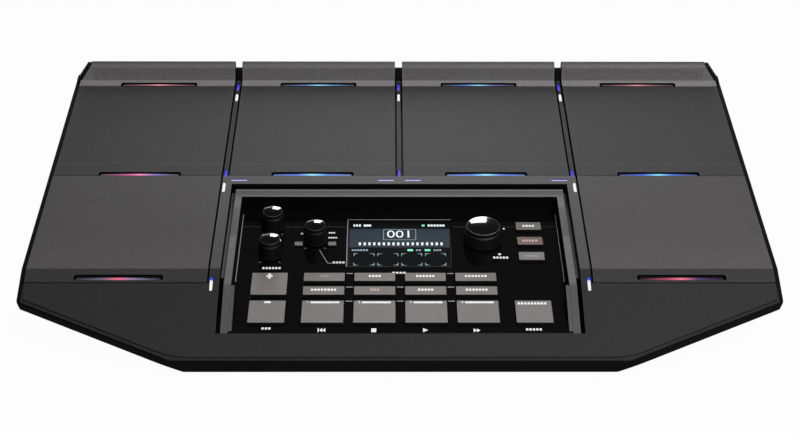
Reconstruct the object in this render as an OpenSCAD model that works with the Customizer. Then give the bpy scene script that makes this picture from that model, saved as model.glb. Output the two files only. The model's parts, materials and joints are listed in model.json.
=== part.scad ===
// Sampling percussion pad: a wedge-shaped table-top instrument with four bar pads, six square pads,
// light slots, and a sunken control panel. Millimetres, +Z up, front towards -Y.
// The origin is at the middle of the footprint, on the surface that the feet stand on.

/* [Body] */
// Overall width
body_w = 440; // [420:1:470]
// Overall depth
body_d = 286; // [280:1:300]
// Overall height
body_h = 81; // [79:0.1:83]
// Depth of the front skirt, from the front edge back to the crease
skirt_d = 60.3; // [57:0.1:63]
// Height of the crease between skirt and pads
crease_z = 38.5; // [37:0.1:41]
// Slope of the pad deck in degrees
pad_tilt = 8.3; // [7.5:0.1:9]
// Slope of the front skirt in degrees
skirt_tilt = 24.3; // [23.5:0.1:25]
// Length of the straight front edge
front_w = 257; // [235:1:275]
// Depth from the front edge back to the side corners
side_corner_d = 38; // [32:1:42]
// Radius of the two front corners
front_r = 55; // [35:1:65]
// Radius of the two side corners
side_r = 6; // [5:1:16]
// Radius of the two back corners
back_r = 8; // [5:1:10]
// Thickness of the case wall and of the black rim round the pads
wall = 3.2; // [2.6:0.1:3.6]
// Thickness of the case floor
floor_t = 3; // [2.4:0.1:3.4]
// Height of the rubber feet, which lift the case floor
foot_h = 5; // [4:0.1:6]
// Radius of a rubber foot
foot_r = 10; // [7:0.5:12]
// Height of the rim band below the deck at the sides
rim_h = 5; // [4:0.1:7]
// Inward lean of the lower side walls, from horizontal, in degrees
side_lean = 60; // [55:1:70]
// Slope of the undercut below the front corners in degrees
corner_lean = 27; // [22:1:30]
// How far inwards of the front corners the undercut starts
edge_lead = 7.5; // [4:0.5:14]
// Height of the case edge at the side corners, below the undercut
corner_edge_z = 23.5; // [22:0.1:26]
// How far the back wall stands in front of the bars' back edge
back_inset = 3; // [2:0.1:5]

/* [Pads] */
// Width of a centre pad
pad_w = 104; // [101:0.1:106]
// Width of the groove between a side pad and a centre pad
groove_w = 4.8; // [4.2:0.1:6]
// Width of the groove on the centre line
mid_groove_w = 4.8; // [4.2:0.1:6]
// Length of a lower pad, from the crease back
lower_len = 98.2; // [96:0.1:102]
// Length of an upper pad, with its light band
upper_len = 111.5; // [105:0.1:115]
// Length of an upper pad's light band, in front of its playing zone
band_len = 13.6; // [12:0.1:15]
// How far an upper pad's playing zone lies below its light band
zone_drop = 0.4; // [0.2:0.1:0.6]
// Width of the gap between one pad and the next
seam = 0.4; // [0.3:0.1:0.7]
// Thickness of a pad's rubber
pad_t = 5.2; // [4.6:0.1:6]
// Thickness of the foam below a pad
foam_t = 1.8; // [1.4:0.1:2.4]
// Length of the lower pad's flap, which bends down over the skirt
flap_len = 10.3; // [9.6:0.1:12]
// Distance from a bar's front edge to the middle of its crown
bar_len = 14.3; // [13.8:0.1:15]
// Length of the level strip at the foot of a bar
strip_len = 7; // [6:0.1:8]
// Radius of a bar's crown
crown_r = 4.2; // [3.8:0.1:4.6]
// Lean of the bars' outer ends, from horizontal, in degrees
end_lean = 55; // [50:1:60]
// How far the bars' outer ends start inwards of the case's sides
end_in = 1.8; // [1.2:0.1:2.4]
// How far a pad gives when it is struck
pad_travel = 0.8; // [0.5:0.1:1]

/* [Lights] */
// Length of a light slot
slot_w = 51.4; // [40:0.1:60]
// Depth of a light slot, front to back
slot_d = 3.9; // [3:0.1:4.4]
// Clearance of a light guide in its slot
guide_fit = 0.4; // [0.3:0.05:0.6]
// Distance of the front light slots below the crease
front_slot_at = 4.8; // [4.4:0.1:5.2]
// Length of a small light window in a groove
window_l = 10; // [6:0.1:12]
// Width of a small light window in a groove
window_w = 1.8; // [1.4:0.1:2]
// Width of the rib in a groove
rib_w = 2.8; // [2.6:0.1:3]
// How far the side columns' light slots stand inwards of the pads' middle
slot_shift = 1.3; // [0:0.1:2]

/* [Panel] */
// Depth of the panel below the pad plane
panel_drop = 12.8; // [12:0.1:13.6]
// Half of the panel frame's outer width
bezel_half = 101.6; // [100.6:0.1:102.6]
// Width of the frame's side arms
bezel_arm = 4.3; // [3.8:0.1:5]
// Width of the frame's back bar
bezel_back = 8.2; // [7:0.1:9]
// Depth of the frame's top below the pad plane
bezel_drop = 3.3; // [2.6:0.1:4]
// Gap behind the frame
bezel_gap = 1.2; // [0.8:0.1:1.5]
// Gap beside the frame's side arms
bezel_side_gap = 2.5; // [2:0.1:2.8]
// Length of the panel from its front edge to the frame's back bar
panel_len = 124.2; // [122:0.1:126]
// Room between the small buttons and the frame's side arm
side_margin = 11; // [10:0.1:12]
// Thickness of the panel
fascia_t = 2.5; // [2:0.1:3]
// Clearance of a button in the panel
key_fit = 0.3; // [0.2:0.05:0.4]
// How far a button stands above the panel
key_h = 1.6; // [1.3:0.1:2.2]
// How far a button travels
key_travel = 0.8; // [0.5:0.1:1]
// Width of a button in the four main columns
key_w = 24.1; // [20:0.1:25]
// Spacing of the four main columns
key_pitch = 29.6; // [28:0.1:31]
// Width of the plus, minus and mute buttons
big_w = 21; // [18:0.1:22]
// Place of the plus, minus and mute buttons from the centre line
big_x = 76.3; // [75:0.1:78]
// Depth of the numbered buttons
key_d = 20.8; // [18:0.1:21]
// Depth of the narrow buttons
slim_d = 8.2; // [7:0.1:9]
// Distance of the numbered row from the panel's front edge
row_1_at = 7.8; // [6.5:0.1:9]
// Distance of the function row from the panel's front edge
row_2_at = 34.1; // [33:0.1:35.5]
// Distance of the mode row from the panel's front edge
row_3_at = 47.4; // [46.5:0.1:48.5]
// Width of the three small buttons on the right
small_w = 15.4; // [12:0.1:16]
// Place of the three small buttons from the centre line
small_x = 78.6; // [77:0.1:80]
// Spacing of the three small buttons
small_pitch = 15.7; // [15:0.1:16.5]
// Width and depth of the two page buttons
page_w = 5; // [4:0.1:5.2]
// Distance from the level knob to a page button
page_x = 10.1; // [10:0.1:11]
// Width of the display window
screen_w = 61.6; // [56:0.1:63]
// Depth of the display window
screen_d = 48.2; // [44:0.1:49]

/* [Knobs] */
// Radius of a small knob at its foot
knob_r = 6.9; // [6:0.1:7.2]
// Height of a small knob
knob_h = 12.4; // [10:0.1:15]
// Radius of the data encoder's knob at its foot
dial_r = 11.5; // [10:0.1:13]
// Height of the data encoder's knob
dial_h = 11.6; // [10:0.1:15]
// Radius of the control shafts
shaft_r = 3; // [2.6:0.1:3.2]
// Running clearance of a shaft in its bush
shaft_fit = 0.05; // [0.03:0.01:0.08]
// Distance of the knobs' middle line from the panel's front edge
knob_s = 89.5; // [88:0.1:91]
// Distance between the volume and phones knobs
knob_pitch = 29; // [28:0.1:31]
// Place of the volume and phones knobs from the centre line
outer_knob_x = -77.2; // [-79:0.1:-76]
// Place of the level knob from the centre line
level_x = -50.8; // [-51.5:0.1:-50]
// Place of the data encoder from the centre line
dial_x = 50.1; // [49:0.1:51]
// How far the data encoder's knob pushes in
dial_travel = 0.6; // [0.4:0.1:0.8]

/* [Sockets and fixings] */
// Radius of a 6.35 mm jack's bore
jack_r = 3.25; // [3.2:0.01:3.3]
// Depth of a jack's bore
jack_l = 24; // [20:1:28]
// Spacing of the jacks
jack_pitch = 24; // [22:1:26]
// Bore radius of the power inlet
inlet_r = 2.9; // [2.7:0.05:3.2]
// Spacing of the threaded inserts for a stand plate, both ways
insert_pitch = 75; // [70:1:80]
// Bore radius of a threaded insert
insert_r = 2.1; // [1.6:0.05:2.4]
// Length of a threaded insert
insert_l = 8; // [6:0.5:10]
// Shank radius of a case screw
screw_r = 1.5; // [1.2:0.1:1.8]
// Length of a case screw's shank
screw_l = 12; // [11:0.5:13]
// Width of the power button
power_w = 12; // [10:0.5:14]
// Height of the power button
power_d = 9; // [7:0.5:10]
// How far the power button travels
power_travel = 2.5; // [1.5:0.1:3]

/* [Hidden] */
$fn = 64;
half_w = body_w / 2;
front_y = -body_d / 2;
back_y = body_d / 2;
crease_y = front_y + skirt_d;
bend = skirt_tilt - pad_tilt;
tall = 200;
reach = 600;
// The black rim lies this much below the pads
rim_drop = 0.5;
// Clearance between the rim and what sits inside it
rim_fit = 0.35;
deck_drop = pad_t + foam_t;
deck_t = 3;
skirt_t = 3;
rib_drop = 0.9;
// Share of the wall's thickness that the bars' outer ends keep
end_share = 0.6;
// Width of the chamfer along the side rims
rim_edge = 1;
// Length of the side chamfer in front of the crease
side_chamfer_l = (skirt_d - side_corner_d) / cos(skirt_tilt);
wall_y = back_y - back_inset;
floor_top = foot_h + floor_t;

// Deck columns, across
mid_in = mid_groove_w / 2;
mid_out = mid_in + pad_w;
side_in = mid_out + groove_w;
groove_x = (mid_out + side_in) / 2;
pad_inset = wall + rim_fit;

// Centre of the bars' crown, in the deck's side profile, set so that faces cut it rather than graze it
crown_bite = 0.05;
crown_y = back_y - crown_r + 2 * crown_bite - crease_y;
crown_z = body_h - crown_r - crease_z;
crown = [
    crown_y * cos(pad_tilt) + crown_z * sin(pad_tilt),
    crown_z * cos(pad_tilt) - crown_y * sin(pad_tilt)
];
deck_end = crown[0] + 4 * crown_r;

// Deck stations, front to back along the slope. The bars keep their place at the back, and what lies in
// front of them is fitted to the room that is left, in steps of a thousandth.
bar_v = crown[0] - bar_len;
rake_v = bar_v + strip_len;
deck_fit = round(1000 * (bar_v - 2 * seam) / (lower_len + upper_len)) / 1000;
lower_v = lower_len * deck_fit;
upper_v = lower_v + seam;
upper_l = upper_len * deck_fit;
zone_v = upper_v + band_len;
// How high a rib stands between two bars
rib_rise = 7.8;
rib_back = 1;
rib_run = 0.46;
slot_r = 1.4;
lip_w = -rim_drop - pad_travel - 0.5;
flap_gap = seam + 0.1;

// Panel stations, fitted to the deck in the same way
panel_v = -panel_drop / tan(bend);
panel_l = panel_len * deck_fit;
row_1 = row_1_at * deck_fit;
row_2 = row_2_at * deck_fit;
row_3 = row_3_at * deck_fit;
key_l = key_d * deck_fit;
slim_l = slim_d * deck_fit;
small_step = small_pitch * deck_fit;
knob_at = knob_s * deck_fit;
knob_step = knob_pitch * deck_fit;
screen_l = screen_d * deck_fit;

// Panel places across, fitted to the frame's inner width in the same way
bezel_in = bezel_half - bezel_arm;
side_fit = round(1000 * bezel_in / (small_x + small_w / 2 + side_margin)) / 1000;
key_a = key_w * side_fit;
key_step = key_pitch * side_fit;
big_a = big_w * side_fit;
big_at = big_x * side_fit;
small_a = small_w * side_fit;
small_at = small_x * side_fit;
screen_a = screen_w * side_fit;
outer_knob_at = outer_knob_x * side_fit;
level_at = level_x * side_fit;
dial_at = dial_x * side_fit;
open_half = bezel_half + bezel_side_gap;
bezel_end = panel_v + panel_l + bezel_back;
open_end = bezel_end + bezel_gap;
ledge_w = 4;
ledge_t = 2;
step_in = 2;
cheek_w = 2.2;
panel_fit = 0.2;
board_t = 1.6;
board_h = -fascia_t - 5.6;
key_lip = 0.8;
key_lip_t = 0.8;
key_bottom = -fascia_t - 0.1 - key_lip_t;
switch_top = key_bottom - key_travel - 0.15;
switch_w = 6;
page_h = 1;
screen_s = knob_at - 1.3;
screen_fit = 0.2;
bush_r = shaft_r + 0.6;
bush_top = 1.2;
pot_w = 10;
pot_h = 5;
knob_gap = 0.6;
grip_fit = 0.02;
dial_gap = 0.4 + dial_travel;
big_d = row_3 + slim_l - row_2;

// Sockets on the back wall, and the board that carries them
board_z = floor_top + 6;
jack_w = 15;
jack_z = board_z + board_t + jack_w / 2;
jack_count = 6;
jack_x0 = -2.5 * jack_pitch;
usb_x = jack_x0 - jack_pitch;
inlet_x = -jack_x0 + jack_pitch * 0.9;
power_x = -jack_x0 + jack_pitch * 1.7;
post_r = 4;
sensor_r = 13.5;
bar_sensor_r = 10;
sensor_t = 0.6;
chip_w = 22;
chip_x = [-70, -20, 40];
board_d = 78;
board_front = wall_y - board_d;
fix_inset = 70;
fix_x = half_w - fix_inset;
board_half = fix_x - 20;
post_x = board_half - 8;
post_y = [board_front + 8, wall_y - wall - 14];
insert_y = -12;
insert_wall = 1.4;
boss_wall = 3;
boss_rise = 8;
head_h = 2;
head_lip = 1.4;
front_foot_in = 70;
back_foot_in = 55;
foot_x = [half_w - front_foot_in, half_w - back_foot_in];
front_foot_at = 53;
back_foot_at = 25;
foot_y = [front_y + front_foot_at, back_y - back_foot_at];
fix_front = 24.7;
fix_back = 35;
fix_y = [crease_y + fix_front, (crease_y + back_y) / 2 - 5, back_y - fix_back];
screw_at = concat([for (x = [-fix_x, fix_x], y = fix_y) [x, y]], [[0, board_front - 20]]);
foot_at = [for (side = [-1, 1], i = [0, 1]) [side * foot_x[i], foot_y[i]]];

// Outline of the case seen from above, counter-clockwise, with a radius at each corner.
// The back edge stays where it is when the outline is moved inwards.
function corners(inset) = [
    [-front_w / 2, front_y],
    [front_w / 2, front_y],
    [half_w, front_y + side_corner_d],
    [half_w, back_y + inset],
    [-half_w, back_y + inset],
    [-half_w, front_y + side_corner_d]
];
corner_radii = [front_r, front_r, side_r, back_r, back_r, side_r];

// Helpers for the outline
function unit(a) = a / norm(a);
function outward(a, b) = let (e = unit(b - a)) [e[1], -e[0]];
function around(list, i) = list[(i + len(list)) % len(list)];

// A rounded corner of the outline, moved inwards: its centre, radius and the two edge directions
function fillet(i, inset) =
    let (
        c = corners(inset),
        before = outward(around(c, i - 1), c[i]),
        after = outward(c[i], around(c, i + 1)),
        r = max(corner_radii[i] - inset, 0.5)
    )
    [c[i] - (before + after) * (inset + r) / (1 + before * after), r, before, after];

module outline(inset) {
    fillets = [for (i = [0:len(corner_radii) - 1]) fillet(i, inset)];
    polygon([for (f = fillets, side = [2, 3]) f[0] + f[side] * f[1]]);
    for (f = fillets) {
        translate(f[0]) circle(r = f[1]);
    }
}

// Frames: the pad deck, the skirt and the panel each have their own level surface at zero height
module on_deck() {
    translate([0, crease_y, crease_z]) rotate([pad_tilt, 0, 0]) children();
}

module on_skirt() {
    translate([0, crease_y, crease_z]) rotate([skirt_tilt, 0, 0]) children();
}

module on_panel(x = 0, s = 0, h = 0) {
    on_deck() translate([x, panel_v + s, h - panel_drop]) children();
}

// A side profile, drawn as distance and height, carried across the body
module across(from, to) {
    translate([from, 0, 0]) rotate([90, 0, 90]) linear_extrude(height = to - from) children();
}

// A front profile, drawn as place and height, carried from front to back
module lengthwise(from, to) {
    translate([0, to, 0]) rotate([90, 0, 0]) linear_extrude(height = to - from) children();
}

module box(from, to) {
    translate(from) cube(to - from);
}

// A rectangle with rounded corners, about its centre
module slab(w, d, r) {
    square([w - 2 * r, d], center = true);
    square([w, d - 2 * r], center = true);
    for (x = [-1, 1], y = [-1, 1]) {
        translate([x * (w / 2 - r), y * (d / 2 - r)]) circle(r = r, $fn = 24);
    }
}

// A point on the skirt, drawn in the deck's side profile, at a distance below the crease and a depth
function on_slope(q, depth) = [-q * cos(bend) + depth * sin(bend), -q * sin(bend) - depth * cos(bend)];

// Distance below the crease where a skirt layer meets the deck layer of the same depth
function mitre(depth) = depth * (1 - cos(bend)) / sin(bend);

// Everything below a sloping plane that holds a case edge
module below_edge(azimuth, climb, lean, inset) {
    rotate([-lean, -climb, azimuth]) translate([-reach / 2, -reach / 2, inset - reach]) cube(reach);
}

// The room that the inward-leaning side walls and front corners take from the case
module undercuts(inset) {
    run = half_w - front_w / 2;
    azimuth = atan2(side_corner_d, run);
    climb = atan2(corner_edge_z - foot_h, norm([run, side_corner_d]) + edge_lead * cos(azimuth));
    for (side = [0, 1]) {
        mirror([side, 0, 0]) {
            translate([front_w / 2 - edge_lead, front_y, foot_h])
                below_edge(azimuth, climb, corner_lean, inset);
            on_deck() translate([half_w, 0, -rim_h]) below_edge(90, 0, side_lean, inset);
        }
    }
}

// The room that the slanted bar ends take
module end_slants(inset) {
    start = half_w - end_in - end_share * inset / sin(end_lean);
    high = 60;
    on_deck() {
        for (side = [0, 1]) {
            mirror([side, 0, 0]) lengthwise(0, deck_end + reach / 4) {
                polygon([
                    [start, 0], [start + high, 0], [start + high, high],
                    [start - high / tan(end_lean), high]
                ]);
            }
        }
    }
}

// The room that the chamfer of the side rims takes, along the deck and along the skirt
module rim_chamfers() {
    points = [
        [half_w - rim_edge, -rim_drop], [half_w - rim_edge, tall], [half_w + 1, tall],
        [half_w + 1, -rim_h + 0.5], [half_w, -rim_h + 0.5]
    ];
    for (side = [0, 1]) {
        mirror([side, 0, 0]) {
            on_deck() lengthwise(0, deck_end) polygon(points);
            on_skirt() lengthwise(-side_chamfer_l, 0) polygon(points);
        }
    }
}

// The whole case form without its top, moved inwards from its sides, and further from the leaning walls
module form(inset, bottom, sink = 0) {
    difference() {
        translate([0, 0, bottom]) linear_extrude(height = tall) outline(inset);
        undercuts(inset + sink);
        end_slants(inset);
    }
}

// Room below the deck and the skirt, for trimming what is fixed under them
module under_deck(depth) {
    on_deck() across(-reach, reach) {
        polygon([
            on_slope(reach / 2, depth), on_slope(mitre(depth), depth), [reach, -depth], [reach, -reach],
            [-reach, -reach]
        ]);
    }
}

// The point where the raked face of a bar runs into its crown
function rake_end(foot, centre) =
    let (
        gap = centre - foot,
        r = crown_r - crown_bite,
        run = sqrt(gap * gap - r * r),
        rise = atan2(gap[1], gap[0]) + atan2(r, run)
    )
    foot + run * [cos(rise), sin(rise)];

// A bar between two places across, from its strip up the rake and over the crown, a small drop lower
module bar_block(from, to, drop) {
    foot = [rake_v, -drop];
    centre = crown - [0, drop];
    start = rake_end(foot, centre);
    back = centre + crown_r * [cos(pad_tilt), -sin(pad_tilt)];
    across(from, to) polygon([
        [bar_v, -deck_drop], [bar_v, -drop], foot, start, back + (back - start), [deck_end, -deck_drop]
    ]);
    across(from, to) translate(centre) circle(r = crown_r);
}

// Case shells

module case_posts() {
    for (x = [-post_x, post_x], y = post_y) {
        translate([x, y, foot_h]) cylinder(r = post_r, h = board_z - foot_h);
    }
    for (x = [-1, 1], y = [-1, 1]) {
        translate([x * insert_pitch / 2, insert_y + y * insert_pitch / 2, foot_h])
            cylinder(r = insert_r + insert_wall + 2, h = insert_l);
    }
    for (p = screw_at) {
        translate([p[0], p[1], foot_h]) cylinder(r = screw_r + boss_wall, h = boss_split() - foot_h);
    }
}

function boss_split() = floor_top + boss_rise;

module back_sockets(fit) {
    for (i = [0:jack_count - 1]) {
        translate([jack_x0 + i * jack_pitch, wall_y - wall - 1, jack_z]) rotate([-90, 0, 0])
            cylinder(r = jack_r + 2.2 + fit, h = wall + 2);
    }
    box(
        [usb_x - 6 - fit, wall_y - wall - 1, board_z + board_t - fit],
        [usb_x + 6 + fit, wall_y + 1, board_z + board_t + 11 + fit]
    );
    translate([inlet_x, wall_y - wall - 1, jack_z]) rotate([-90, 0, 0])
        cylinder(r = inlet_r + 1.6 + fit, h = wall + 2);
    translate([power_x, wall_y - wall - 1, jack_z]) rotate([-90, 0, 0]) linear_extrude(height = wall + 2)
        slab(power_w + 2 * key_fit, power_d + 2 * key_fit, 1.2 + key_fit);
}

module bottom_case() {
    color("#0b0b0c") difference() {
        union() {
            difference() {
                intersection() {
                    form(0, foot_h);
                    box([-half_w, front_y, 0], [half_w, wall_y, tall]);
                    on_deck() {
                        across(-half_w, half_w) polygon([
                            on_slope(2 * skirt_d, rim_drop), on_slope(2 * skirt_d, tall),
                            [deck_end, -tall], [deck_end, -rim_drop], on_slope(mitre(rim_drop), rim_drop)
                        ]);
                        bar_block(-half_w, half_w, rim_drop);
                    }
                }
                intersection() {
                    form(wall, floor_top);
                    box([-half_w, front_y, 0], [half_w, wall_y - wall, tall]);
                }
                intersection() {
                    form(wall, floor_top);
                    on_deck() box([-half_w, bar_v - strip_len, lip_w], [half_w, deck_end, tall]);
                }
            }
            case_posts();
        }
        rim_chamfers();
        for (x = [-1, 1], y = [-1, 1]) {
            translate([x * insert_pitch / 2, insert_y + y * insert_pitch / 2, foot_h - 1])
                cylinder(r = insert_r + insert_wall, h = insert_l + 2);
        }
        for (p = screw_at) {
            translate([p[0], p[1], foot_h - 1])
                cylinder(r = screw_r + head_lip + 0.3, h = boss_split() - foot_h - 2);
            translate([p[0], p[1], foot_h - 1]) cylinder(r = screw_r + 0.2, h = boss_split());
        }
        back_sockets(0.15);
    }
}

// Wells for the pads, cut into the top case
module pad_wells() {
    slack = seam / 2;
    for (side = [-1, 1]) {
        lower_in = side_in - (groove_w - rib_w) / 2;
        from = side < 0 ? -reach : lower_in;
        to = side < 0 ? -lower_in : reach;
        across(from, to) {
            polygon([
                [deck_end, tall], [deck_end, -deck_drop], on_slope(mitre(deck_drop), deck_drop),
                on_slope(flap_len + flap_gap, deck_drop), on_slope(flap_len + flap_gap, -20), [0, 20], [0, tall]
            ]);
        }
        inner = mid_in - (mid_groove_w - rib_w) / 2;
        outer = mid_out + (groove_w - rib_w) / 2;
        box(
            [side < 0 ? -outer : inner, upper_v - slack, -deck_drop],
            [side < 0 ? -inner : outer, deck_end, tall]
        );
    }
}

// Opening for the panel frame, with a ledge that carries it, and a shelf under the panel's front edge
module panel_opening() {
    through_half = bezel_half - step_in + panel_fit;
    box([-open_half, panel_v, -deck_drop], [open_half, open_end, tall]);
    box([-open_half, panel_v, -tall], [open_half, 0, tall]);
    box([-through_half, panel_v, -tall], [through_half, bezel_end - step_in + panel_fit, tall]);
}

module window_places() {
    low_v = lower_v - window_l - 8;
    dash_v = (open_end + lower_v) / 2;
    for (x = [-groove_x, 0, groove_x]) {
        translate([x, bar_v, -rib_drop]) children();
        translate([x, bar_v - window_l - 4, -rib_drop]) children();
        translate([x, upper_v + window_l / 2 - 1.5, -rib_drop]) children();
    }
    for (side = [-1, 1]) {
        translate([side * groove_x, low_v + window_l / 2, 0]) children();
        translate([side * (groove_x - 9), dash_v, 0]) rotate([0, 0, 90]) children();
        translate([side * (window_l / 2 + 3.4), dash_v, 0]) rotate([0, 0, 90]) children();
        rotate([bend, 0, 0]) translate([side * groove_x, -window_l - 1.2, 0]) children();
    }
}

module window_block(fit) {
    deep = 3;
    translate([0, 0, -deep]) linear_extrude(height = fit > 0 ? tall : deep - 0.2)
        slab(window_w + 2 * fit, window_l + 2 * fit, window_w / 2 - 0.1);
}

module case_bosses() {
    for (p = screw_at) {
        intersection() {
            translate([p[0], p[1], boss_split()]) cylinder(r = screw_r + boss_wall, h = tall);
            under_deck(deck_drop + deck_t / 2);
        }
    }
}

module top_case() {
    shelf_w = -panel_drop - fascia_t;
    color("#414143") difference() {
        union() {
            difference() {
                intersection() {
                    form(pad_inset, 0);
                    box([-half_w, front_y, 0], [half_w, wall_y - wall - rim_fit, tall]);
                    on_deck() across(-half_w, half_w) {
                        polygon([
                            on_slope(2 * skirt_d, 0), [0, 0], [upper_v - seam / 2, 0],
                            [upper_v - seam / 2, -rib_drop], [rake_v + rib_back, -rib_drop],
                            [rake_v + rib_back + rib_rise * rib_run, rib_rise - rib_drop],
                            [deck_end, rib_rise - rib_drop],
                            [deck_end, -deck_drop - deck_t],
                            on_slope(mitre(deck_drop + deck_t), deck_drop + deck_t),
                            on_slope(flap_len + 3, deck_drop + deck_t), on_slope(flap_len + 3, skirt_t),
                            on_slope(2 * skirt_d, skirt_t)
                        ]);
                    }
                }
                on_deck() {
                    pad_wells();
                    panel_opening();
                }
            }
            case_bosses();
            on_deck() box(
                [-bezel_in + ledge_w, panel_v - 4, shelf_w - ledge_t],
                [bezel_in - ledge_w, panel_v + 4, shelf_w]
            );
        }
        on_deck() window_places() window_block(0.05);
        for (p = screw_at) {
            translate([p[0], p[1], boss_split() - 1]) cylinder(r = screw_r, h = screw_l - 3);
        }
    }
}

module rubber_feet() {
    color("#1c1c1d") for (p = foot_at) {
        translate([p[0], p[1], 0]) rotate_extrude()
            polygon([[0, 0], [foot_r - 1, 0], [foot_r, 1], [foot_r, foot_h], [0, foot_h]]);
    }
}

module case_screws() {
    seat = boss_split() - 3;
    color("#8d8f92") for (p = screw_at) {
        translate([p[0], p[1], seat - head_h]) difference() {
            union() {
                cylinder(r = screw_r + head_lip, h = head_h);
                cylinder(r = screw_r, h = screw_l);
            }
            translate([0, 0, -1]) cylinder(r = screw_r * 0.7, h = 2, $fn = 6);
        }
    }
}

module mount_inserts() {
    color("#b08d3c") for (x = [-1, 1], y = [-1, 1]) {
        translate([x * insert_pitch / 2, insert_y + y * insert_pitch / 2, foot_h]) difference() {
            cylinder(r = insert_r + insert_wall, h = insert_l);
            translate([0, 0, -1]) cylinder(r = insert_r, h = insert_l + 2);
        }
    }
}

// Panel pieces

// Cheeks below the arms' bend, which run down to the panel's front corners
module bezel_cheeks(top_v) {
    low = -panel_drop + 0.05;
    front = panel_v + 1.5;
    back = top_v - 0.2;
    for (side = [0, 1]) {
        mirror([side, 0, 0]) across(bezel_in - cheek_w, bezel_in + 0.5) {
            polygon([
                [front, low], [back, low], [back, back * tan(bend) - 0.1],
                [front, front * tan(bend) - 0.1]
            ]);
        }
    }
}

module panel_bezel() {
    top_v = -bezel_drop / tan(bend);
    bottom = -panel_drop - fascia_t - ledge_t;
    color("#565557") on_deck() {
        bezel_cheeks(top_v);
        bezel_ring(top_v, bottom);
    }
}

module bezel_ring(top_v, bottom) {
    difference() {
        intersection() {
            union() {
                box([-bezel_half, panel_v, -deck_drop], [bezel_half, bezel_end, 0]);
                box([-bezel_half, panel_v, bottom], [bezel_half, -bezel_gap, 0]);
                box(
                    [-bezel_half + step_in, panel_v, bottom],
                    [bezel_half - step_in, bezel_end - step_in, 0]
                );
            }
            across(-reach, reach) {
                polygon([
                    on_slope(2 * skirt_d, 0), [top_v, -bezel_drop], [deck_end, -bezel_drop],
                    [deck_end, -tall], on_slope(2 * skirt_d, tall)
                ]);
            }
        }
        box(
            [-bezel_in, panel_v - 1, -panel_drop - fascia_t],
            [bezel_in, panel_v + panel_l, tall]
        );
        box(
            [-bezel_in + ledge_w, panel_v - 1, -tall],
            [bezel_in - ledge_w, panel_v + panel_l - ledge_w, tall]
        );
        box([-bezel_half - 1, panel_v - 1, -tall], [bezel_half + 1, panel_v + 4.5, -panel_drop - fascia_t]);
    }
}

// Every button: its place across, its distance from the panel's front edge, its width, depth and height
column_x = [for (i = [-1.5:1:1.5]) i * key_step];
track_keys = [for (x = column_x) [x, row_1 + key_l / 2, key_a, key_l, key_h]];
function_keys = [for (x = column_x) [x, row_2 + slim_l / 2, key_a, slim_l, key_h]];
mode_keys = [for (x = column_x) [x, row_3 + slim_l / 2, key_a, slim_l, key_h]];
plus_key = [-big_at, row_2 + big_d / 2, big_a, big_d, key_h];
minus_key = [-big_at, row_1 + key_l / 2, big_a, key_l, key_h];
mute_key = [big_at, row_1 + key_l / 2, big_a, key_l, key_h];
small_keys = [for (i = [1, 0, -1]) [small_at, knob_at - 1.2 + i * small_step, small_a, slim_l, key_h]];
page_keys = [for (i = [-1, 1]) [level_at + i * page_x, knob_at - 3.3, page_w, page_w * 0.8, page_h]];
keys = concat(track_keys, function_keys, mode_keys, [plus_key, minus_key, mute_key], small_keys, page_keys);

pots = [
    [outer_knob_at, knob_at + knob_step / 2], [outer_knob_at, knob_at - knob_step / 2], [level_at, knob_at]
];
encoder_at = [dial_at, knob_at];

module fascia() {
    color("#0d0d0f") on_panel() difference() {
        box([-bezel_in + panel_fit, panel_fit, -fascia_t], [bezel_in - panel_fit, panel_l - panel_fit, 0]);
        for (k = keys) {
            translate([k[0], k[1], -fascia_t - 1]) linear_extrude(height = fascia_t + 2)
                slab(k[2] + 2 * key_fit, k[3] + 2 * key_fit, 0.6 + key_fit);
        }
        for (p = concat(pots, [encoder_at])) {
            translate([p[0], p[1], -fascia_t - 1]) cylinder(r = bush_r + 0.3, h = fascia_t + 2);
        }
        translate([0, screen_s, -fascia_t - 1]) linear_extrude(height = fascia_t + 2)
            square([screen_a + 2 * screen_fit, screen_l + 2 * screen_fit], center = true);
    }
}

window_t = 1.5;
window_sink = 0.4;

module display_window() {
    color("#1c2730") on_panel(0, screen_s, -window_sink - window_t) linear_extrude(height = window_t)
        slab(screen_a, screen_l, 0.5);
}

module display_module() {
    rim = 3;
    thick = 3;
    color("#2e3236") on_panel(0, screen_s) {
        translate([0, 0, -fascia_t - thick]) linear_extrude(height = thick)
            square([screen_a + 2 * rim, screen_l + 2 * rim], center = true);
        translate([0, 0, -fascia_t]) linear_extrude(height = fascia_t - window_t - window_sink)
            square([screen_a, screen_l], center = true);
        for (x = [-1, 1], y = [-1, 1]) {
            translate([x * screen_a / 2, y * screen_l / 2, board_h])
                cylinder(r = 2, h = -board_h - fascia_t);
        }
    }
}

module panel_board() {
    edge = 6;
    color("#1f5a3a") on_panel() box(
        [-bezel_in + edge, row_1 - 2, board_h - board_t],
        [bezel_in - edge, panel_l - edge - 2, board_h]
    );
}

module button_switches() {
    color("#2a2a2b") for (k = keys) {
        wide = min(switch_w, k[3] + 1.4);
        on_panel(k[0], k[1], board_h) {
            translate([0, 0, (switch_top - board_h - 0.8) / 2])
                cube([switch_w, wide, switch_top - board_h - 0.8], center = true);
            cylinder(r = 1.7, h = switch_top - board_h);
        }
    }
}

// Rotary controls

module control_body(w) {
    linear_extrude(height = pot_h) square(w, center = true);
    cylinder(r = bush_r, h = bush_top - board_h);
}

module pot_bodies() {
    color("#3a4a58") for (p = pots) {
        on_panel(p[0], p[1], board_h) difference() {
            control_body(pot_w);
            translate([0, 0, 2]) cylinder(r = shaft_r + shaft_fit, h = tall);
        }
    }
}

rotor_floor = 0.9;
rotor_room = 2.3;
rotor_r = 4.8;
spindle_r = 2.4;

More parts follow.
